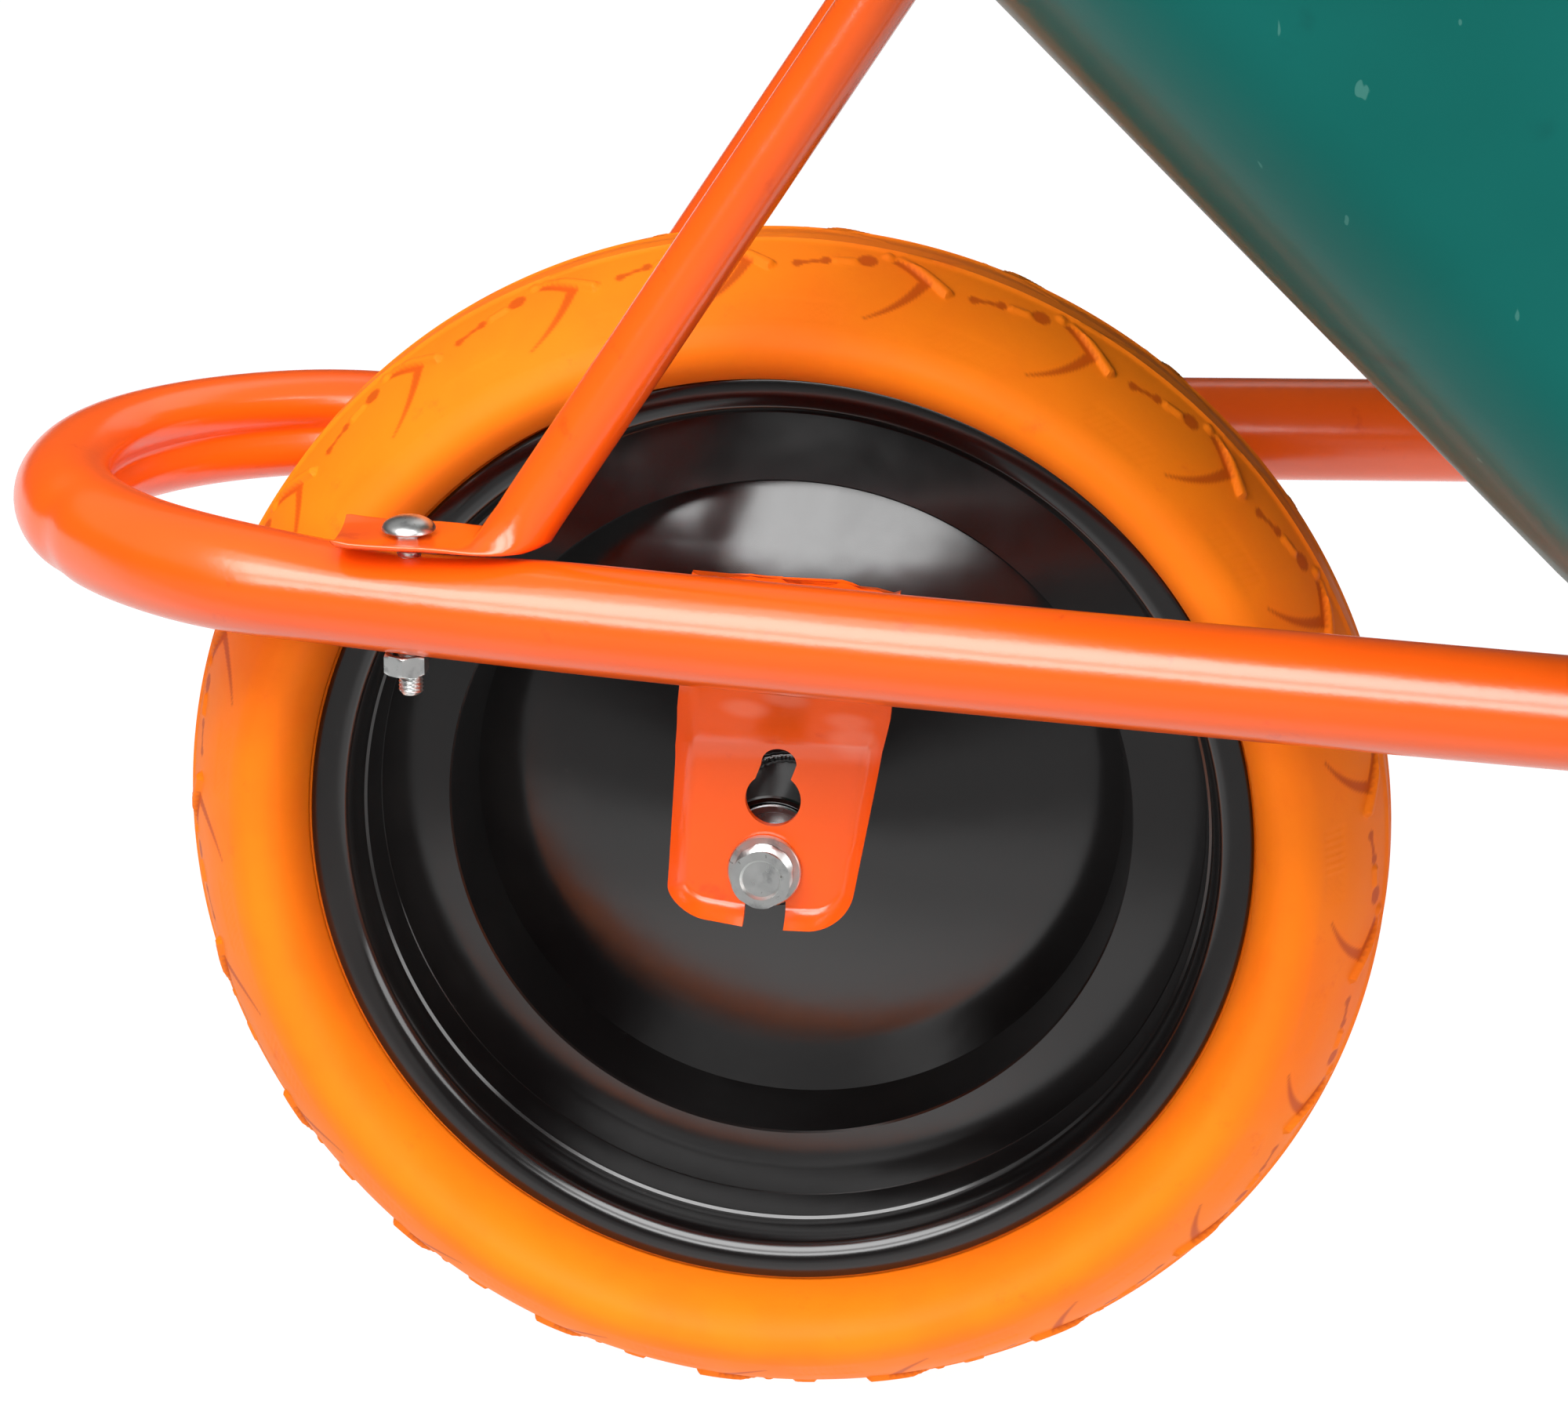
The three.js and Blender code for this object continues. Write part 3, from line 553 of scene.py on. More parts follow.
def cut_piece(piece, cutters):
    """Cuts closed shapes out of a piece and leaves a plain mesh."""
    for shape in cutters:
        cutter = add_object("cutter", build_mesh("cutter", *shape))
        modifier = piece.modifiers.new("cut", "BOOLEAN")
        modifier.operation, modifier.solver, modifier.object = "DIFFERENCE", "EXACT", cutter
        graph = bpy.context.evaluated_depsgraph_get()
        graph.update()
        result = bpy.data.meshes.new_from_object(piece.evaluated_get(graph))
        piece.modifiers.clear()
        old = piece.data
        piece.data = result
        bpy.data.meshes.remove(old)
        bpy.data.objects.remove(cutter)
    shade(piece.data)


def smooth_step(value, low, high):
    t = np.clip((np.asarray(value, float) - low) / (high - low), 0, 1)
    return t * t * (3 - 2 * t)


# ---- Frame ----


def side_offset(x):
    """How far the frame's tubes are from the middle; they part towards the handles."""
    return 120 + 0.155 * x - 6e-5 * x * x


def tube_height(x):
    """The height of the frame's tubes, lowest at the handles' bend and a little curved ahead
    of the axle."""
    return AXLE_HEIGHT + 100.5 - 0.0094 * x + (8e-5 * x * x if x < 0 else 0.0)


def left_tube_at(x):
    return (x, -side_offset(x), tube_height(x))


def loop_path(steps=420, straight=0.55):
    """Right side tube forward, round the front of the wheel, and the left side tube back.
    straight is the share of each half that isn't bent."""
    points = []
    for t in np.linspace(0, 1, steps + 1):
        side = 1 if t < 0.5 else -1
        along = abs(2 * t - 1)
        if along > 1 - straight:
            share = (along - (1 - straight)) / straight
            x = LOOP_START_X + (TUBE_JOINT_X - LOOP_START_X) * share
            y = side_offset(x)
        else:
            angle = math.pi / 2 * along / (1 - straight)
            x = LOOP_START_X - LOOP_DEPTH * math.cos(angle) ** (2 / LOOP_SQUARENESS)
            y = side_offset(x) * math.sin(angle) ** (2 / LOOP_SQUARENESS)
        points.append((x, side * y, tube_height(x)))
    points = np.array(points)
    apart = np.linalg.norm(np.diff(points, axis=0), axis=1) > 0.3
    return points[np.concatenate([[True], apart])]


def even_path(path, step):
    """The same path with points at even spacing."""
    path = np.asarray(path, float)
    lengths = np.concatenate([[0], np.cumsum(np.linalg.norm(np.diff(path, axis=0), axis=1))])
    count = max(2, int(round(lengths[-1] / step)))
    at = np.linspace(0, lengths[-1], count + 1)
    return np.stack([np.interp(at, lengths, path[:, k]) for k in range(3)], -1)


def make_frame_loop():
    path = even_path(loop_path(), 3.0)

    def dented(i, ring):
        """Bending pushed the inside of the bend in, and the struts' plates flattened the top."""
        x, y, _ = path[i]
        angle = np.arctan2(ring[:, 1], ring[:, 0])
        bend = 1 - smooth_step(x, -186, -128)
        # The path runs so that the inside of the loop is at angle 180 degrees.
        inward = np.abs(np.abs(angle) - math.pi)
        dent = 1 - 0.42 * bend * np.exp(-((inward / 0.42) ** 2))
        swell = 1 + 0.03 * bend
        shaped = ring * dent[:, None] * swell
        # A shallow crease runs round the front of the bend.
        crease = np.exp(-(((y + 52) / 5.5) ** 2)) * bend * np.exp(-((angle / 1.0) ** 2))
        shaped = shaped * (1 - 0.075 * crease)[:, None]
        seat = np.exp(-(((x - STRUT_BOLT_X + 4) / 36) ** 2))
        top = shaped[:, 1] > 0
        flat = 1 - 0.17 * seat * smooth_step(shaped[:, 1] / TUBE_RADIUS, 0.4, 0.95)
        shaped[top, 1] *= flat[top]
        return shaped

    tube = pipe(path, TUBE_RADIUS, TUBE_WALL, 48, shaped=dented)
    add_single("frame_loop", *tube, "orange_paint", sharp=50)


HANDLE_JOINT_GAP = 1.5
HANDLE_INSET = 6.0
HANDLE_PATH = bent_path(
    [
        np.add(left_tube_at(TUBE_JOINT_X), (HANDLE_JOINT_GAP, 0, 0)),
        left_tube_at(HANDLE_BEND_X),
        (HANDLE_TOP[0], -HANDLE_TOP[1], HANDLE_TOP[2]),
        (HANDLE_END[0] - HANDLE_INSET, -HANDLE_END[1], HANDLE_END[2]),
    ],
    setback=45.0,
)


def handle_at(x):
    """The left handle tube's centre at a given x."""
    return np.array([np.interp(x, HANDLE_PATH[:, 0], HANDLE_PATH[:, k]) for k in range(3)])


def make_handles():
    add_pair("handle_tube", *pipe(HANDLE_PATH, TUBE_RADIUS, TUBE_WALL, 48), "orange_paint", sharp=50)
    ends = [left_tube_at(TUBE_JOINT_X - 50), handle_at(TUBE_JOINT_X + 35)]
    add_pair("joint_sleeve", *pipe(ends, TUBE_RADIUS - TUBE_WALL - 1, TUBE_WALL), "zinc")


def make_grips():
    end, before = HANDLE_PATH[-1], HANDLE_PATH[-2]
    direction = (end - before) / np.linalg.norm(end - before)
    length, bore, flange, body = 120.0, TUBE_RADIUS + 0.6, 5.0, 3.0
    start = end + direction * (5.6 - length)
    outer = [(bore, 0), (bore + flange - 1.5, 0), (bore + flange, 1.5), (bore + flange, 4.5),
             (bore + flange - 1.2, 6), (bore + body - 0.3, 8)]
    first, last, pitch = 12.0, length - 16.0, 4.0
    for y in np.arange(first, last, 0.5):
        swell = 0.9 * math.sin(math.pi * (y - first) / (last - first))
        ridge = 0.55 * max(0.0, math.cos(2 * math.pi * (y - first) / pitch))
        outer.append((bore + body - 1.5 + swell + ridge, y))
    outer += arc(bore - 4, length - 7, (3.5 + body, 7), 0, math.pi / 2, 8)
    inner = [(3, length), (3, length - 5), (bore, length - 5)]
    grip = aimed(turned(outer + inner, 64), start, direction)
    add_pair("grip", *grip, "grip_rubber", sharp=40)


# ---- Wheel ----

TREAD_REPEATS = 21
TREAD_PHASE = math.radians(44.9)
TREAD_RADIUS = 195.0
HATCH_PITCH = 2.6
TYRE_HALF_PROFILE = [
    (157.4, 19.9), (157.6, 24), (158.4, 30), (160.3, 36), (163.5, 41.6), (167.2, 45.3), (171.5, 46.9),
    (175.2, 45.8), (178.6, 43.4), (182, 39.8), (185.6, 35.2), (189.2, 29.8), (192.3, 24.2),
    (195.2, 17.9), (197.6, 11.6), (199.2, 5.8), (199.8, 0),
]
TYRE_SEAT = [(150, 17.5), (146, 12), (146, 0)]
TREAD_REACH = 48.0  # along the section, from the crown
INSIDE = 99.0  # stands for a distance from the crown on the seat


def stroke(t, s, start, end, width_start, width_end, bow=0.0):
    """How far inside a tapered stroke each point is, from 0 at its edge; negative outside."""
    (t0, s0), (t1, s1) = start, end
    along = np.array([t1 - t0, s1 - s0])
    length = np.hypot(*along)
    along /= length
    u = (t - t0) * along[0] + (s - s0) * along[1]
    v = -(t - t0) * along[1] + (s - s0) * along[0]
    share = np.clip(u / length, 0, 1)
    v = v - bow * 4 * share * (1 - share)
    half = (width_start + (width_end - width_start) * share) / 2
    return np.minimum(half - np.abs(v), np.minimum(u, length - u))


def edge(inside, soft=0.7):
    return smooth_step(inside, -soft / 2, soft / 2)


def tread_height(turn, s, radius):
    """The tread's height in mm at turn angles, s mm along the section from the crown, and how
    much of it is groove. The pattern repeats round the tyre."""
    pitch = 2 * math.pi / TREAD_REPEATS
    phase = ((TREAD_PHASE - turn) % pitch) * TREAD_RADIUS
    height = np.zeros_like(turn)
    groove = np.zeros_like(turn)
    for shift in (-pitch * TREAD_RADIUS, 0.0, pitch * TREAD_RADIUS):
        t = phase - shift

        def cut(amount, depth):
            nonlocal height, groove
            height = height - amount * depth
            groove = np.maximum(groove, amount)

        # Two curved grooves, two small holes joined by a slit, and a larger hole.
        arm = stroke(t, s, (10.5, 20.5), (-5.5, 41.0), 4.2, 0.7, bow=-2.6)
        cut(edge(arm, 1.1), 2.8)
        shadow = stroke(t, s, (-0.5, 12.5), (12.5, 21.5), 2.4, 3.0, bow=-0.8)
        cut(edge(shadow, 0.9), 2.4)
        cut(edge(stroke(t, s, (27, 20.2), (36.5, 17.6), 1.7, 1.7)), 1.8)
        for centre in ((27.4, 20.1), (36.2, 17.7)):
            cut(edge(1.8 - np.hypot(t - centre[0], s - centre[1])), 2.0)
        cut(edge(3.1 - np.hypot(t - 49.5, s - 14.8)), 2.2)
        # A raised blade beside the grooves, and two smaller marks.
        blade = stroke(t, s, (0.5, 9.4), (19.5, 22.5), 2.6, 3.4)
        nub = 1.7 - np.hypot(t - 55.6, s - 10.6)
        mark = stroke(t, s, (39, 17.2), (46, 16.0), 2.6, 2.0)
        blade_rise = 0.3 + 1.5 * smooth_step(s, 9.5, 15)
        for raised, rise in ((blade, blade_rise), (nub, 0.9), (mark, 0.9)):
            amount = edge(raised, 0.8)
            height = np.maximum(height, height * (1 - amount) + rise * amount)
            groove = groove * (1 - amount)
        upper = stroke(t, s, (2, 6.6), (24, 1.8), 1.6, 1.2, bow=1.2)
        height = height + 0.4 * edge(upper)
    # A raised line runs round either side of the crown, and the crown lies a little lower.
    line = edge(0.65 - np.abs(s - 7.4), 0.6)
    height = np.maximum(height, 0.8 * line)
    height = height - 0.35 * (1 - smooth_step(s, 4.6, 6.2))
    # Fine radial hatching on the sidewall, between two arms.
    window = smooth_step(s, 35.5, 37) * (1 - smooth_step(s, 44.5, 46))
    across = smooth_step(phase, 17, 20) * (1 - smooth_step(phase, 44, 47))
    ticks = 0.5 + 0.5 * np.sin(turn * 2 * math.pi * radius / HATCH_PITCH)
    height = height - 0.28 * window * across * ticks
    return height, groove


def curve_through(values, knots, at):
    """Catmull-Rom through values at the knots; it mirrors itself past the last one."""
    padded = np.concatenate([[2 * values[0] - values[1]], values, [values[-2]]])
    k = np.clip(np.searchsorted(knots, at, side="right") - 1, 0, len(knots) - 2)
    u = (at - knots[k]) / (knots[k + 1] - knots[k])
    a, b, c, d = padded[k], padded[k + 1], padded[k + 2], padded[k + 3]
    return 0.5 * (2 * b + (c - a) * u + (2 * a - 5 * b + 4 * c - d) * u**2
                  + (3 * b - a - 3 * c + d) * u**3)


def tyre_section():
    """The tyre's section as radii, ys and distances from the crown, finer on the tread."""
    half = np.array(TYRE_HALF_PROFILE)
    knots = np.concatenate([[0], np.cumsum(np.linalg.norm(np.diff(half, axis=0), axis=1))])
    crown = knots[-1]
    rows = np.concatenate([np.linspace(0, crown - TREAD_REACH, 9)[:-1],
                           np.linspace(crown - TREAD_REACH, crown, 54)])
    r, w = (curve_through(half[:, k], knots, rows) for k in (0, 1))
    w[-1] = 0.0
    left = list(zip(r, -w, crown - rows))
    right = list(zip(r, w, crown - rows))[-2::-1]
    seat = [(r, y, INSIDE) for r, y in TYRE_SEAT] + [(r, -y, INSIDE) for r, y in TYRE_SEAT[-2::-1]]
    return np.array(left + right + seat).T


def make_tyre():
    radii, ys, arcs = tyre_section()
    dr, dy = np.gradient(radii), np.gradient(ys)
    norm = np.hypot(dr, dy)
    sides = 1512
    angle = turn_angles(sides)
    rings, grooves, painted_crown_shade = [], [], []
    for r, y, s, normal_r, normal_y in zip(radii, ys, arcs, dy / norm, -dr / norm):
        # The right half's pattern is the left's turned half a repeat.
        offset = 0.0 if y <= 0 else math.pi / TREAD_REPEATS
        height, groove = tread_height(angle + offset, s, r)
        if s == INSIDE:
            height, groove = height * 0, groove * 0
        rings.append(ring_at(r + normal_r * height, y + normal_y * height, sides))
        # The groove mask carries the painted shade of the recesses.
        grooves.append(groove)
        # Mask for the painted shade on the crown.
        painted_crown_shade.append(np.full(sides, 1 - smooth_step(s, 4.0, 9.0)))
    mesh = build_mesh("tyre", *on_axle(skin(rings, closed=True)), merge=False)
    for label, values in (("groove", grooves), ("crown", painted_crown_shade)):
        layer = mesh.attributes.new(label, "FLOAT", "POINT")
        layer.data.foreach_set("value", np.concatenate(values).astype(np.float32))
    add_piece("tyre_look", mesh, "orange_foam", ("tyre",), body="wheel", sharp=60)


# The left face of the pressed disc, [radius, y]: a cone, a step out to a flat, then the
# barrel with a small ridge in it, and the rolled lip.
DISC_FACE = [
    (19.4, 4.3), (24, 5.2), (75, 20.7), (109.4, 31.2), (114.2, 5.2), (114.8, 4.5), (138.4, 9.0),
    (138.7, 8.6), (140.4, -4.6), (140.7, -5.6), (141.6, -6.3), (142.0, -7.2), (142.3, -10.0),
    (142.7, -13.0), (143.3, -15.6), (144.2, -18.0), (145.5, -20.0), (147.2, -21.4),
    (149.3, -22.2), (151.5, -22.5), (154.8, -22.6), (156.0, -22.3), (156.5, -21.2),
]
# The right face of the rim ring, [radius, y].
RING_FACE = [
    (120, 8.6), (134, 12), (139, 13.4), (142, 15.2), (143.8, 17.6), (146.2, 20.2),
    (149.2, 21.6), (154.4, 22.1), (156.0, 21.8), (156.5, 21.0),
]


def offset_line(line, distance):
    """The line moved sideways: each corner moves along its mean normal."""
    line = np.asarray(line, float)
    steps = np.diff(line, axis=0)
    normals = np.stack([-steps[:, 1], steps[:, 0]], -1)
    normals /= np.linalg.norm(normals, axis=1)[:, None]
    before = np.concatenate([normals[:1], normals])
    after = np.concatenate([normals, normals[-1:]])
    mean = before + after
    mean /= np.linalg.norm(mean, axis=1)[:, None]
    return line + mean * (distance / np.sum(mean * before, axis=1))[:, None]


def make_rim():
    for name, face, thickness, sharp in (("rim_disc", DISC_FACE, RIM_SHEET, 24),
                                         ("rim_ring", RING_FACE, -RIM_SHEET, 60)):
        back = offset_line(face, thickness)[::-1]
        sheet = on_axle(turned(np.concatenate([face, back]), 256))
        add_single(name, *sheet, "black_paint", body="wheel", sharp=sharp)
    hub = on_axle(turned(ring_profile(16.4, 19, -HUB_HALF, HUB_HALF, 0.6), 72))
    add_single("hub_tube", *hub, "black_paint", body="wheel")
    weld_bead("hub_weld", circle_path(19.3, 4.4), 1.7, "wheel", "black_paint")
    make_bearings()


def make_bearings():
    """Each bearing's two rings and its seal, as one turned face with steps between them."""
    outer, inner, width = 16.0, AXLE_BORE, 10.0
    face = [(inner, 0.4), (inner + 0.4, 0), (9.2, 0), (9.5, 0.4), (9.5, 0.9), (13.2, 0.9), (13.2, 0.4),
            (13.5, 0), (outer - 0.5, 0), (outer, 0.5)]
    back = [(r, width - y) for r, y in face[::-1]]
    add_pair("wheel_bearing", *on_axle(turned(face + back, 64), -HUB_HALF), "bearing_steel", body="wheel")


# ---- Welds ----


def circle_path(radius, y, x=0.0, z=AXLE_HEIGHT, steps=90):
    """A closed circle square to the y axis, its last point on its first."""
    return np.insert(arc(x, z, radius, 0, 2 * math.pi, steps + 1), 1, y, axis=1)


def weld_shape(path, radius, lean=(0, 0, 1)):
    """A bead with the ripples of a hand-laid weld."""
    path = even_path(path, 0.8)
    count = len(path)
    closed_loop = np.linalg.norm(path[0] - path[-1]) < 1e-6

    def section(i):
        taper = 1.0 if closed_loop else min(1.0, (min(i, count - 1 - i) + 0.6) / 3.5)
        ripple = 1 + 0.10 * math.cos(2 * math.pi * i / 3.4) + 0.07 * math.sin(i * 0.37 + count)
        return circle(radius * taper * ripple, 12)

    return skin(sweep(path, section, lean))


def weld_bead(name, path, radius, body="barrow", slot="orange_paint"):
    bends_upright = np.ptp(np.asarray(path)[:, 1]) < 1e-6
    bead = weld_shape(path, radius, (0, 1, 0) if bends_upright else (0, 0, 1))
    add_piece(name, build_mesh(name, *bead), slot, body=body, sharp=80)


# ---- Fasteners ----

M8_THREAD = {"pitch": 1.25, "depth": 0.7, "core": 3.0}
M12_THREAD = {"pitch": 1.75, "depth": 1.0, "core": 4.6}


def shank_profile(radius, start, end, thread, smooth_length):
    """Points down a bolt's shank, close enough together to hold its thread."""
    tip = 0.9
    heights = np.arange(start + smooth_length, end - tip, thread["pitch"] / 5)
    points = [(radius, start)] + [(radius, y) for y in heights]
    return points + [(radius - tip, end), (0, end)]


def threaded(profile, thread, start, end, sides=36):
    return turned(profile, sides, threads={**thread, "from": start, "to": end})


def chamfered_hexagon(across_flats, height, sides=48):
    """Rings up a hexagonal nut from y = 0 to height, its corners turned off at both ends. A
    head has a negative height, which turns it off all the way and gives it a waist."""
    flat = across_flats / 2
    hexagon = flat / np.cos((turn_angles(sides) + math.pi / 6) % (math.pi / 3) - math.pi / 6)
    rings = []
    for share in (0.0, 0.04, 0.1, 0.18, 0.82, 0.9, 0.96, 1.0):
        limit = flat * 1.03 + min(share, 1 - share) * height * 1.5
        rings.append(ring_at(np.minimum(hexagon, limit), height * share, sides))
    return rings


def nut_shape(across_flats, hole, height):
    """A nut from y = 0 to height, its hole countersunk at both ends."""
    rings = chamfered_hexagon(across_flats, height)
    rings += [ring_at(hole + 0.7, height), ring_at(hole, height - 0.7)]
    rings += [ring_at(hole, 0.7), ring_at(hole + 0.7, 0)]
    return skin(rings, closed=True)


def hex_bolt_shape(across_flats, head, radius, length, thread, recess):
    """A hexagon-head bolt along +y: head below 0, with a round recess, and shank above."""
    dish = across_flats * 0.36
    rings = chamfered_hexagon(across_flats, -head)
    rings += [ring_at(dish, -head), ring_at(dish - 0.8, -head + recess), ring_at(0.01, -head + recess)]
    head_shape = skin(rings)
    smooth_length = max(2.0, length - 30)
    profile = [(0, -0.5)] + shank_profile(radius, -0.5, length, thread, smooth_length + 0.5)
    shank = threaded(profile, thread, smooth_length, length)
    return joined(head_shape, shank)


def carriage_bolt_shape(length):
    """A mushroom-head bolt along +y: domed head below 0, square neck, threaded shank."""
    head_radius, rise, radius = 8.6, 4.232, 4.0
    dome = arc(0, -0.35, (head_radius, -rise), 0, math.pi / 2, 12)
    profile = [(0, -0.1), (radius, -0.1), (head_radius - 0.4, 0.0)] + dome[:-1] + [(0, dome[-1][1])]
    neck = skin([square_ring(3.9, y) for y in (-0.2, 2.6, 3.4)])
    shank_points = [(0, 1.0)] + shank_profile(radius, 1.0, length, M8_THREAD, 3.0)
    shank = threaded(shank_points, M8_THREAD, 5.0, length)
    return joined(turned(profile, 48), neck, shank)


def square_ring(half, y, sides=48):
    """A square with rounded corners, sampled by angle."""
    angle = turn_angles(sides)
    radius = half / (np.abs(np.cos(angle)) ** 6 + np.abs(np.sin(angle)) ** 6) ** (1 / 6)
    return ring_at(radius, y, sides)


def add_fasteners(name, shape, point, direction, **settings):
    add_pair(name, *aimed(shape, point, direction), "zinc", **settings)


M8_NUT = nut_shape(13.0, 4.3, 6.5)
DOWN = (0, 0, -1)


# ---- Axle set ----


# Bracket heights are counted from the axle.
BRACKET_CORNER = 13.0
BRACKET_BOTTOM = -18.6
BRACKET_TOP = 112.2
BRACKET_LEVELS = (-20, 44, 62, 82, 114)
BRACKET_SLOT = 6.7  # half its width


def bracket_edges(z):
    """The axle bracket's front and rear edge at a height."""
    front = np.interp(z, BRACKET_LEVELS, (-32, -28, -25, -21, -17))
    rear = np.interp(z, BRACKET_LEVELS, (27, 39, 44, 48, 50))
    return front, rear


def bracket_face(x, z, front):
    """The web's outer face: flat by the axle, leaning out to the frame tube's inner side."""
    rise = smooth_step(z, 36, 92)
    spread = np.interp(z, BRACKET_LEVELS, (0, 0, 0.06, 0.14, 0.145))
    return BRACKET_FACE + (-95.5 - BRACKET_FACE) * rise - spread * (x - front)


def bracket_outline_distance(x, z):
    """How far inside the bracket's outline a point is; its bottom corners are round."""
    front, rear = bracket_edges(z)
    corner = BRACKET_CORNER
    side = np.minimum(x - front, rear - x)
    above = z - BRACKET_BOTTOM
    round_side = corner - np.hypot(np.maximum(corner - side, 0), np.maximum(corner - above, 0))
    return np.where((side < corner) & (above < corner), round_side, np.minimum(side, above))


def keyhole_outline():
    """A large hole with a smaller one above it, joined by a straight neck."""
    (x0, z0, r0), (x1, z1, r1) = (2.6, 24.0, 9.1), (4.5, 36.0, 5.8)
    neck = math.asin(r1 / r0)
    large = arc(x0, z0, r0, math.pi / 2 - neck, neck - 3 * math.pi / 2, 36)
    return large + arc(x1, z1, r1, math.pi, 0, 20)


def bracket_plate():
    """The bracket without its holes: rows across its face, each row closed round its back."""
    bottom, top, corner = BRACKET_BOTTOM, BRACKET_TOP, BRACKET_CORNER
    low = bottom + corner * (1 - np.cos(np.linspace(0.0, math.pi / 2, 22)))
    heights = np.concatenate([low, np.arange(bottom + corner + 1.5, 44, 2.5), np.arange(44, 86, 1.5),
                              np.arange(88, top, 4), [top]])
    near_edge = 9.0 * np.linspace(0, 1, 17) ** 1.15
    rows = []
    for z in heights:
        front, rear = bracket_edges(z)
        below = max(0.0, corner - (z - bottom))
        pull = corner - math.sqrt(corner**2 - below**2)
        a, b = front + pull, rear - pull
        middle = np.linspace(a + near_edge[-1], b - near_edge[-1], 16)[1:-1]
        xs = np.concatenate([a + near_edge, middle, b - near_edge[::-1]])
        d = np.maximum(0, bracket_outline_distance(xs, np.full_like(xs, z)))
        lip_height = np.interp(z, [44, 62, 82], [6.2, 5.2, 1.0])
        lip = lip_height * np.maximum(0, 1 - d / 6.6) ** 2
        ys = bracket_face(xs, z, front) - lip
        # The bottom edge rises a little towards the front.
        lift = np.clip(-xs - 2, 0, 30) * 0.15 * (1 - smooth_step(z, bottom, 2))
        # The sheared top edge shows above the tube.
        lift = lift + (0.9 * np.sin(0.25 * xs) + 0.6 * np.sin(0.61 * xs + 1)) * smooth_step(z, 107, 112)
        rows.append(np.stack([xs, ys, z + lift], -1))
    face = np.array(rows)
    back = face + (0, 2.6, 0)
    return on_axle(skin(np.concatenate([face, back[:, ::-1]], axis=1)))


def make_brackets():
    slot = arc(0, 0, BRACKET_SLOT, 0, math.pi, 13) + [(-BRACKET_SLOT, -40), (BRACKET_SLOT, -40)]
    cutters = [prism(outline, -90, -30) for outline in (slot, keyhole_outline())]
    points, faces = bracket_plate()
    for side, mirror in SIDES.items():
        name = f"axle_bracket_{side}"
        mesh = build_mesh(name, points * np.array(mirror), faces)
        piece = add_piece(f"{name}_look", mesh, "orange_paint", (name,))
        cut_piece(piece, [(p * np.array(mirror), f) for p, f in cutters])
    bracket_welds()


def prism(outline, y0, y1):
    """A closed prism along y over an outline of x and height above the axle."""
    return on_axle(skin([np.insert(outline, 1, y, axis=1) for y in (y0, y1)]))


def bracket_welds():
    """Fillet welds where the bracket lies against the tube's inner side."""
    height = 87.5
    path = np.array([(x, bracket_face(x, height, -17) - 1.2, AXLE_HEIGHT + height)
                     for x in np.linspace(-14, 44, 40)])
    for side, mirror in SIDES.items():
        weld_bead(f"bracket_weld_{side}", path * mirror, 2.2)


def make_axle_set():
    washer_foot = BRACKET_FACE - GAP
    washer = turned(ring_profile(AXLE_BORE, 12, -WASHER, 0, 0.35), 64)
    add_pair("axle_washer", *on_axle(washer, washer_foot), "zinc")
    spacer = turned(ring_profile(AXLE_BORE, 9, BRACKET_FACE + PLATE + GAP, -HUB_HALF - GAP, 0.5), 56)
    add_pair("axle_spacer", *on_axle(spacer), "zinc")
    seat = washer_foot - WASHER - GAP  # the head's and, mirrored, the nut's
    bolt = hex_bolt_shape(19.0, 8.0, 6.0, -2 * seat + 13, M12_THREAD, recess=1.1)
    add_single("axle_bolt", *on_axle(bolt, seat), "zinc", sharp=30)
    add_single("axle_nut", *on_axle(nut_shape(19.0, 6.3, 10.0), -seat), "zinc", sharp=30)


# ---- Front struts ----


def tray_front_x(z):
    share = (z - TRAY_FLOOR_Z) / (TRAY_RIM_Z - TRAY_FLOOR_Z)
    return TRAY_FLOOR["front"] + (TRAY_RIM["front"] - TRAY_FLOOR["front"]) * share


STRUT_Y = -side_offset(STRUT_BOLT_X)
STRUT_PLATE_Z = tube_height(STRUT_BOLT_X) + TUBE_RADIUS + GAP + PLATE / 2 + 0.4
WALL_UP = np.array([tray_front_x(1) - tray_front_x(0), 0, 1])
WALL_UP /= np.linalg.norm(WALL_UP)
WALL_OUT = np.array([-WALL_UP[2], 0, WALL_UP[0]])
STRUT_TOP = {"bend": 549.0, "end": 585.0, "bolt": 571.0}


def wall_plate_at(z):
    return np.array([tray_front_x(z), STRUT_Y, z]) + WALL_OUT * (PLATE / 2 + GAP + 0.1)


def strut_section(centre, thin_axis, half_thin, half_wide, curl=0.0, sides=56):
    """A ring between a circle and a flat plate; curl turns a plate's edges along thin_axis."""
    angle = turn_angles(sides)
    roundness = half_thin / half_wide
    power = 1.0 if roundness > 0.8 else 0.62 + 0.38 * roundness
    thin = half_thin * np.sign(np.cos(angle)) * np.abs(np.cos(angle)) ** power
    wide = half_wide * np.sign(np.sin(angle)) * np.abs(np.sin(angle)) ** power
    thin = thin + curl * np.abs(wide / half_wide) ** 3
    points = centre + thin[:, None] * np.asarray(thin_axis)
    points[:, 1] -= wide
    return points


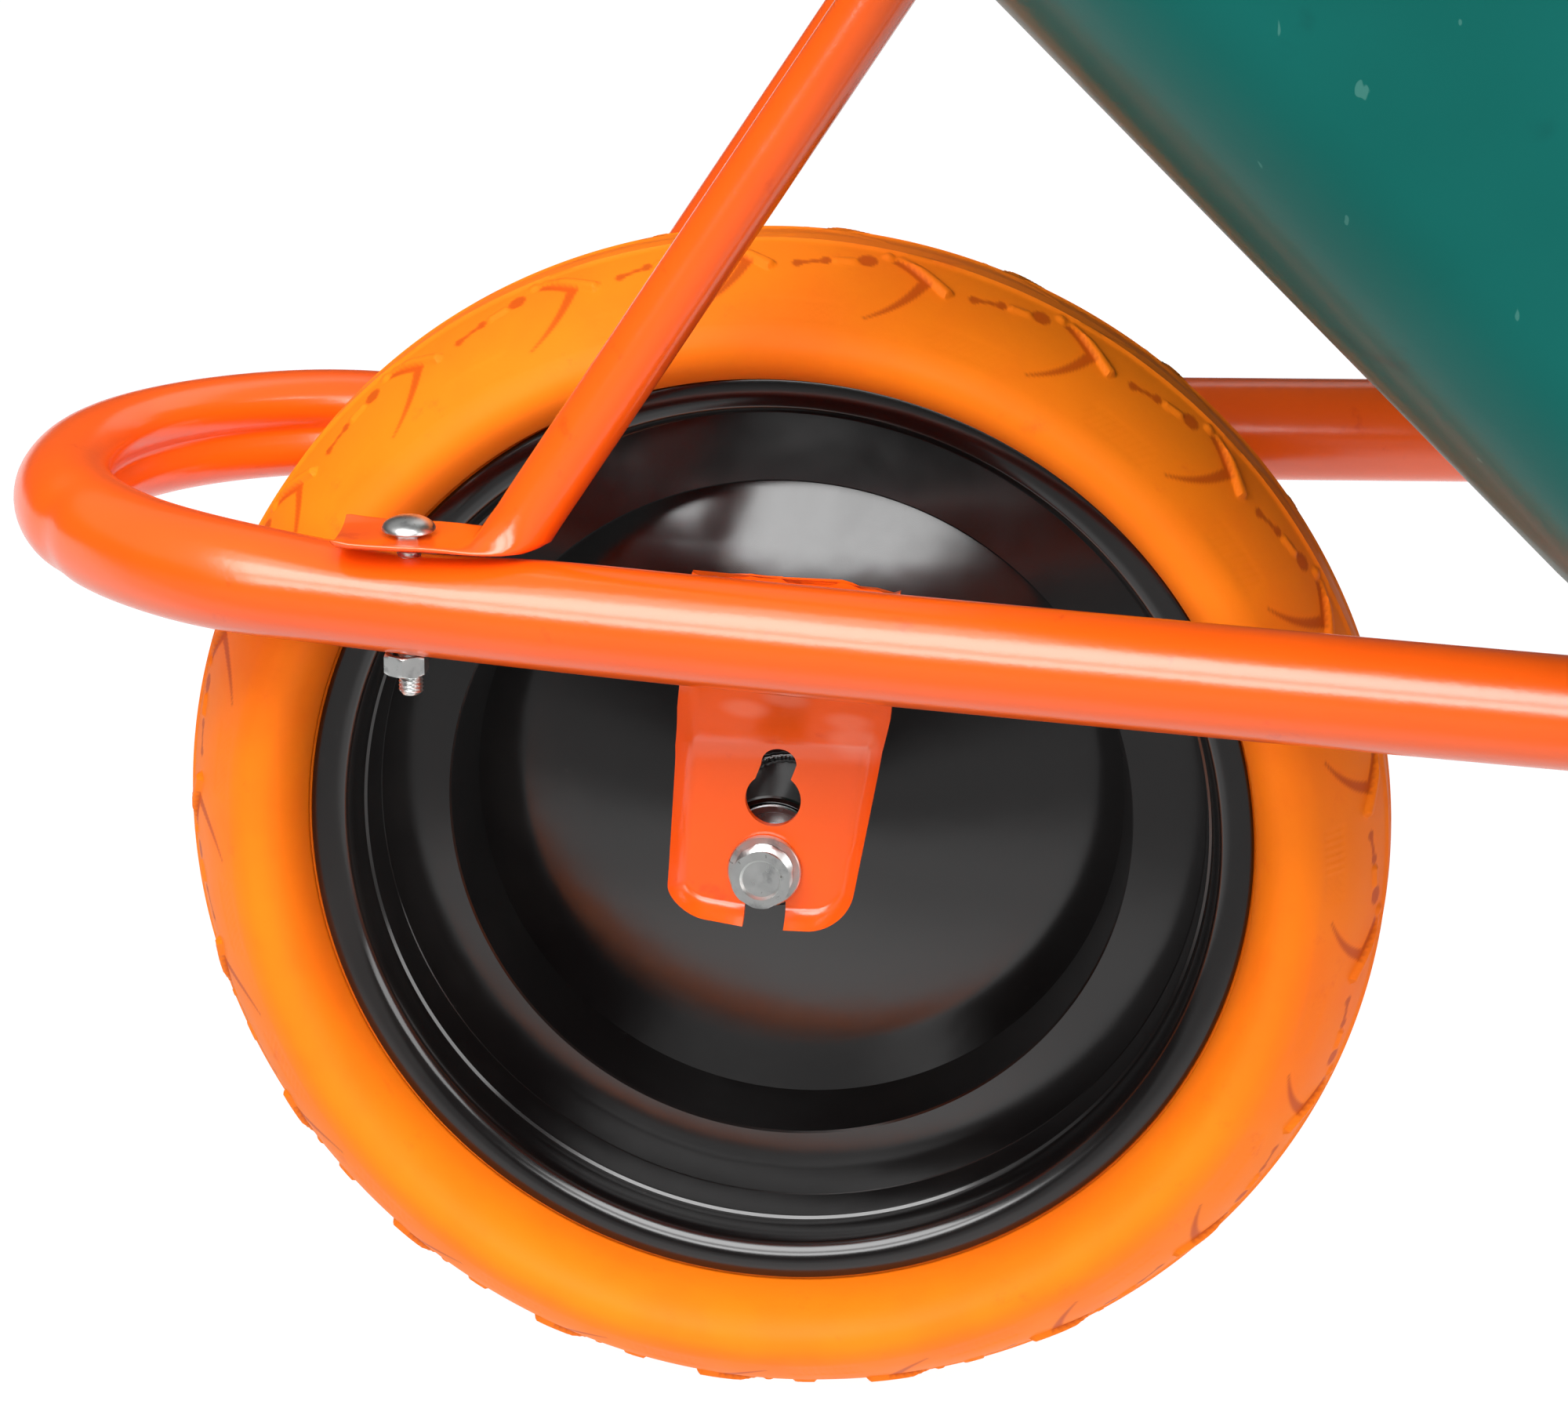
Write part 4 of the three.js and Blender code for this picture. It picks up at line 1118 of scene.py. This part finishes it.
def strut_rings():
    """Rings up the left strut, from its lower plate through the fold and the tube to the wall."""
    bend = np.array([-74.0, STRUT_Y, STRUT_PLATE_Z])
    top = wall_plate_at(STRUT_TOP["bend"])
    along = (top - bend) / np.linalg.norm(top - bend)
    across = np.array([-along[2], 0, along[0]])
    up = np.array([0.0, 0.0, 1.0])
    wall_axis = WALL_OUT if WALL_OUT @ across > 0 else -WALL_OUT
    thin, wide = PLATE / 2, 14.0
    rings = []
    flare = [(-129.0, 14.0, 3.2), (-127.5, 15.0, 2.9), (-123, 15.4, 2.2), (-116, 15.2, 1.8),
             (-108, 15.0, 1.6), (-99, 15.0, 1.6)]
    for x, half_wide, curl in flare:
        centre = np.array([x, STRUT_Y - 0.8, STRUT_PLATE_Z])
        rings.append(strut_section(centre, up, thin * (0.55 if x < -128 else 0.95), half_wide, curl))
    # The fold: the plate's upper wall creases, its lower wall runs on and curves up.
    folds = [((-92, 1.5), (-90, -1.5), 15.0), ((-88, 1.5), (-84, -1.5), 14.9),
             ((-86, 1.9), (-78, -1.5), 14.6), ((-85.2, 2.4), (-72, -1.5), 14.0),
             ((-84.4, 3.4), (-67, -1.2), 13.2), ((-83, 5.2), (-63.6, -0.2), 12.2),
             ((-80.9, 8.4), (-61.8, 0.9), 11.3), ((-77.9, 12.6), (-60.7, 1.4), 10.6)]
    for (x0, z0), (x1, z1), half_wide in folds:
        upper = np.array([x0, STRUT_Y, STRUT_PLATE_Z + z0])
        lower = np.array([x1, STRUT_Y, STRUT_PLATE_Z + z1])
        spread = np.linalg.norm(upper - lower)
        opened = smooth_step(spread, 3, 20)
        middle = (upper + lower) / 2 + (0, -0.8 * (1 - opened), 0)
        axis = (upper - lower) / spread
        rings.append(strut_section(middle, axis, spread / 2, half_wide, 1.5 * (1 - opened)))
    length = np.linalg.norm(top - bend)
    for reach in np.linspace(14, length - 44, 14):
        rings.append(strut_section(bend + along * reach, across, STRUT_RADIUS, STRUT_RADIUS))
    for share in np.linspace(0, 1, 12):
        reach = length - 34 + share * 34
        closed = smooth_step(share, 0.0, 0.9)
        half_thin = STRUT_RADIUS + (thin - STRUT_RADIUS) * closed
        half_wide = STRUT_RADIUS + (wide - STRUT_RADIUS) * closed
        centre = bend + along * reach + WALL_OUT * 1.2 * share
        axis = across + (wall_axis - across) * share * 0.6
        rings.append(strut_section(centre, axis / np.linalg.norm(axis), half_thin, half_wide))
    for z, half_wide in ((556, 14.0), (564, 14.2), (574, 14.2), (581, 13.4), (584, 12.2), (585, 10.8)):
        rings.append(strut_section(wall_plate_at(z), wall_axis, thin * 0.95, half_wide))
    return rings


def make_struts():
    add_pair("front_strut", *skin(strut_rings()), "orange_paint", sharp=60)
    head = (STRUT_BOLT_X + 1.5, STRUT_Y, STRUT_PLATE_Z + PLATE / 2 + 1.6)
    add_fasteners("strut_lower_bolt", carriage_bolt_shape(54), head, DOWN)
    nut_at = (STRUT_BOLT_X, STRUT_Y, tube_height(STRUT_BOLT_X) - TUBE_RADIUS - GAP)
    add_fasteners("strut_lower_nut", M8_NUT, nut_at, DOWN, sharp=30)

    bolt_at = np.array([tray_front_x(STRUT_TOP["bolt"]), STRUT_Y, STRUT_TOP["bolt"]])
    head = bolt_at - WALL_OUT * (TRAY_SHEET + GAP)
    add_fasteners("strut_upper_bolt", carriage_bolt_shape(17), head, WALL_OUT)
    nut_at = bolt_at + WALL_OUT * (PLATE + 3 * GAP)
    add_fasteners("strut_upper_nut", M8_NUT, nut_at, WALL_OUT, sharp=30)


# ---- Tray ----


def rounded_outline(size, z, per_corner=14, per_side=10):
    """A rounded rectangle at a height, with points along its straight sides too."""
    front, rear, half, corner = (size[k] for k in ("front", "rear", "half", "corner"))
    centres = [(rear - corner, half - corner), (front + corner, half - corner),
               (front + corner, -half + corner), (rear - corner, -half + corner)]
    corners = [arc(*centre, corner, k * math.pi / 2, (k + 1) * math.pi / 2, per_corner + 1)
               for k, centre in enumerate(centres)]
    points = []
    for this, following in zip(corners, corners[1:] + corners[:1]):
        side = np.linspace(this[-1], following[0], per_side + 1)[1:-1]
        points += this + side.tolist()
    return np.insert(points, 2, z, axis=1)


def tray_size(share, offset=0.0):
    size = {k: TRAY_FLOOR[k] + (TRAY_RIM[k] - TRAY_FLOOR[k]) * share for k in TRAY_FLOOR}
    size["front"] -= offset
    for key in ("rear", "half", "corner"):
        size[key] += offset
    return size


def fillet_size(s, offset):
    """The outline in the curve between floor and wall, s = 0 on the floor and 1 on the wall."""
    wall = tray_size(TRAY_FILLET / (TRAY_RIM_Z - TRAY_FLOOR_Z), offset)
    floor = tray_size(0, offset)
    size = {}
    for key in floor:
        run = math.hypot(wall[key] - floor[key], TRAY_FILLET)
        flat = floor[key] + (-20 if key == "corner" else run if key == "front" else -run)
        size[key] = (1 - s) ** 2 * flat + 2 * s * (1 - s) * floor[key] + s**2 * wall[key]
    return size


def floor_rings(offset, z):
    """Rings that fill the flat floor from its middle out."""
    edge_ring = rounded_outline(fillet_size(0, offset), z)
    centre = np.array([(TRAY_FLOOR["front"] + TRAY_FLOOR["rear"]) / 2, 0, z])
    return [centre + (edge_ring - centre) * share for share in (0.06, 0.3, 0.55, 0.8)]


def make_tray():
    depth = TRAY_RIM_Z - TRAY_FLOOR_Z
    shares = np.linspace(TRAY_FILLET / depth, 1 - 2 * RIM_ROLL / depth, 12)[1:]

    def side(offset, lift):
        rings = floor_rings(offset, TRAY_FLOOR_Z + lift)
        rings += [rounded_outline(fillet_size(s, offset), TRAY_FLOOR_Z + lift + TRAY_FILLET * s**2)
                  for s in np.linspace(0, 1, 12)]
        rings += [rounded_outline(tray_size(share, offset), TRAY_FLOOR_Z + depth * share)
                  for share in shares]
        return rings

    outer = side(0.0, 0.0)
    roll = []
    for a in np.linspace(math.radians(-100), math.radians(120), 18):
        out = RIM_ROLL + RIM_ROLL * math.cos(a)
        roll.append(rounded_outline(tray_size(1, out), TRAY_RIM_Z - RIM_ROLL + RIM_ROLL * math.sin(a)))
    inner = side(-TRAY_SHEET, TRAY_SHEET)
    add_single("tray", *skin(outer + roll + inner[::-1]), "green_paint", sharp=60)


BEARER_X = (372.0, 560.0)
TRAY_BOLT_Y = 100.0


def make_bearers():
    deep, half, sheet, radius = 18.0, 18.0, 2.0, 3.0
    top = TRAY_FLOOR_Z - GAP
    outer = [(-half, -deep)] + arc(-half + radius, -radius, radius, math.pi, math.pi / 2, 7)
    outer += [(-across, up) for across, up in outer[::-1]]
    outline = np.concatenate([outer, offset_line(outer, -sheet)[::-1]])
    for end, x in zip(("front", "rear"), BEARER_X):
        narrow = max(x - half, TUBE_JOINT_X + HANDLE_JOINT_GAP)
        reach = -handle_at(narrow)[1] - TUBE_RADIUS - 3
        rings = [np.insert(outline + (x, top), 1, y, axis=1) for y in np.linspace(-reach, reach, 9)]
        add_single(f"tray_bearer_{end}", *skin(rings), "orange_paint")
        path = np.array([(x + d, -reach - 0.6, top - 1.4) for d in np.linspace(4 - half, half - 4, 20)])
        for side, mirror in SIDES.items():
            weld_bead(f"bearer_weld_{end}_{side}", path * mirror, 2.3)

        washer = 1.6
        washer_z = top - sheet - GAP
        head, washer_at, nut_at = ((x, -TRAY_BOLT_Y, z) for z in (
            TRAY_FLOOR_Z + TRAY_SHEET + GAP, washer_z, washer_z - washer - GAP))
        add_fasteners(f"tray_bolt_{end}", carriage_bolt_shape(20), head, DOWN)
        washer_shape = turned(ring_profile(4.5, 8.5, 0, washer, 0.3), 48)
        add_fasteners(f"tray_washer_{end}", washer_shape, washer_at, DOWN)
        add_fasteners(f"tray_nut_{end}", M8_NUT, nut_at, DOWN, sharp=30)


# ---- Legs ----

LEG_OFFSET = TUBE_RADIUS + 3 * GAP + LEG_RADIUS
LEG_FRONT = handle_at(LEG_FRONT_X) + (0, LEG_OFFSET, 0)
LEG_REAR = handle_at(LEG_REAR_X) + (0, LEG_OFFSET, 0)
LEG_SLOPE = (LEG_REAR[1] - LEG_FRONT[1]) / (LEG_REAR[0] - LEG_FRONT[0])
LEG_ACROSS = np.array([-LEG_SLOPE, 1, 0]) / math.hypot(LEG_SLOPE, 1)


def leg_point(x, z):
    return np.array([x, LEG_FRONT[1] + LEG_SLOPE * (x - LEG_FRONT[0]), z])


def make_legs():
    level = LEG_RADIUS + PLATE + GAP
    corners = [leg_point(LEG_FRONT[0] - 3, LEG_FRONT[2] + 15), leg_point(FOOT_X[0], level),
               leg_point(FOOT_X[1], level), leg_point(LEG_REAR[0] + 3, LEG_REAR[2] + 15)]
    path = bent_path(corners, 28.0, 3.0)

    def flattened(i, ring):
        """The leg is squashed a little where its bolts draw it against the handle tube."""
        squash = 1 - 0.12 * smooth_step(path[i][2], 275, 300)
        return ring * (1.0, squash)

    tube = pipe(path, LEG_RADIUS, TUBE_WALL, reference=LEG_ACROSS, shaped=flattened)
    add_pair("leg", *tube, "orange_paint", sharp=50)
    make_feet()

    for end, centre_line in (("front", LEG_FRONT), ("rear", LEG_REAR)):
        bolt = hex_bolt_shape(13.0, 5.3, 4.0, 72, M8_THREAD, recess=0.5)
        head = centre_line - LEG_ACROSS * (LEG_OFFSET + TUBE_RADIUS + GAP)
        add_fasteners(f"leg_bolt_{end}", bolt, head, LEG_ACROSS, sharp=30)
        nut_at = centre_line + LEG_ACROSS * (LEG_RADIUS + GAP)
        add_fasteners(f"leg_nut_{end}", M8_NUT, nut_at, LEG_ACROSS, sharp=30)

    x, z, radius = FOOT_X[0] - 52, 132.0, 10.0
    reach = -leg_point(x, 0)[1] - LEG_RADIUS - 0.6
    bar = pipe([(x, y, z) for y in np.linspace(-reach, reach, 9)], radius, TUBE_WALL)
    add_single("leg_crossbar", *bar, "orange_paint")
    for side, mirror in SIDES.items():
        ring = circle_path(radius + 0.4, 0.4 - reach, x, z, 59)
        weld_bead(f"crossbar_weld_{side}", ring * mirror, 2.0)


def make_feet():
    """Each leg's plate, turned in line with the leg, and a weld along either side of the tube."""
    centre = leg_point(sum(FOOT_X) / 2, 0)
    half_length = (FOOT_X[1] - FOOT_X[0]) / 2 - 15
    size = {"front": -half_length, "rear": half_length, "half": 17.0, "corner": 6.0}
    outline = rounded_outline(size, 0, 6, 1)[:, :2]
    angle = math.atan(LEG_SLOPE)
    turn = np.array([[math.cos(angle), math.sin(angle)], [-math.sin(angle), math.cos(angle)]])
    rings = [np.insert(outline * shrink @ turn + centre[:2], 2, z, axis=1)
             for z, shrink in ((0.0, 0.985), (0.5, 1.0), (PLATE - 0.6, 1.0), (PLATE, 0.975))]
    add_pair("foot_plate", *skin(rings), "orange_paint")
    for place, shift in (("inner", 1), ("outer", -1)):
        ends = [leg_point(centre[0] + d, PLATE + 1.0) + LEG_ACROSS * shift * 6.5 for d in (-38, 38)]
        add_pair(f"foot_weld_{place}", *weld_shape(ends, 2.2), "orange_paint", sharp=80)


make_camera()
make_studio()
make_frame_loop()
make_handles()
make_grips()
make_tyre()
make_rim()
make_brackets()
make_axle_set()
make_struts()
make_tray()
make_bearers()
make_legs()
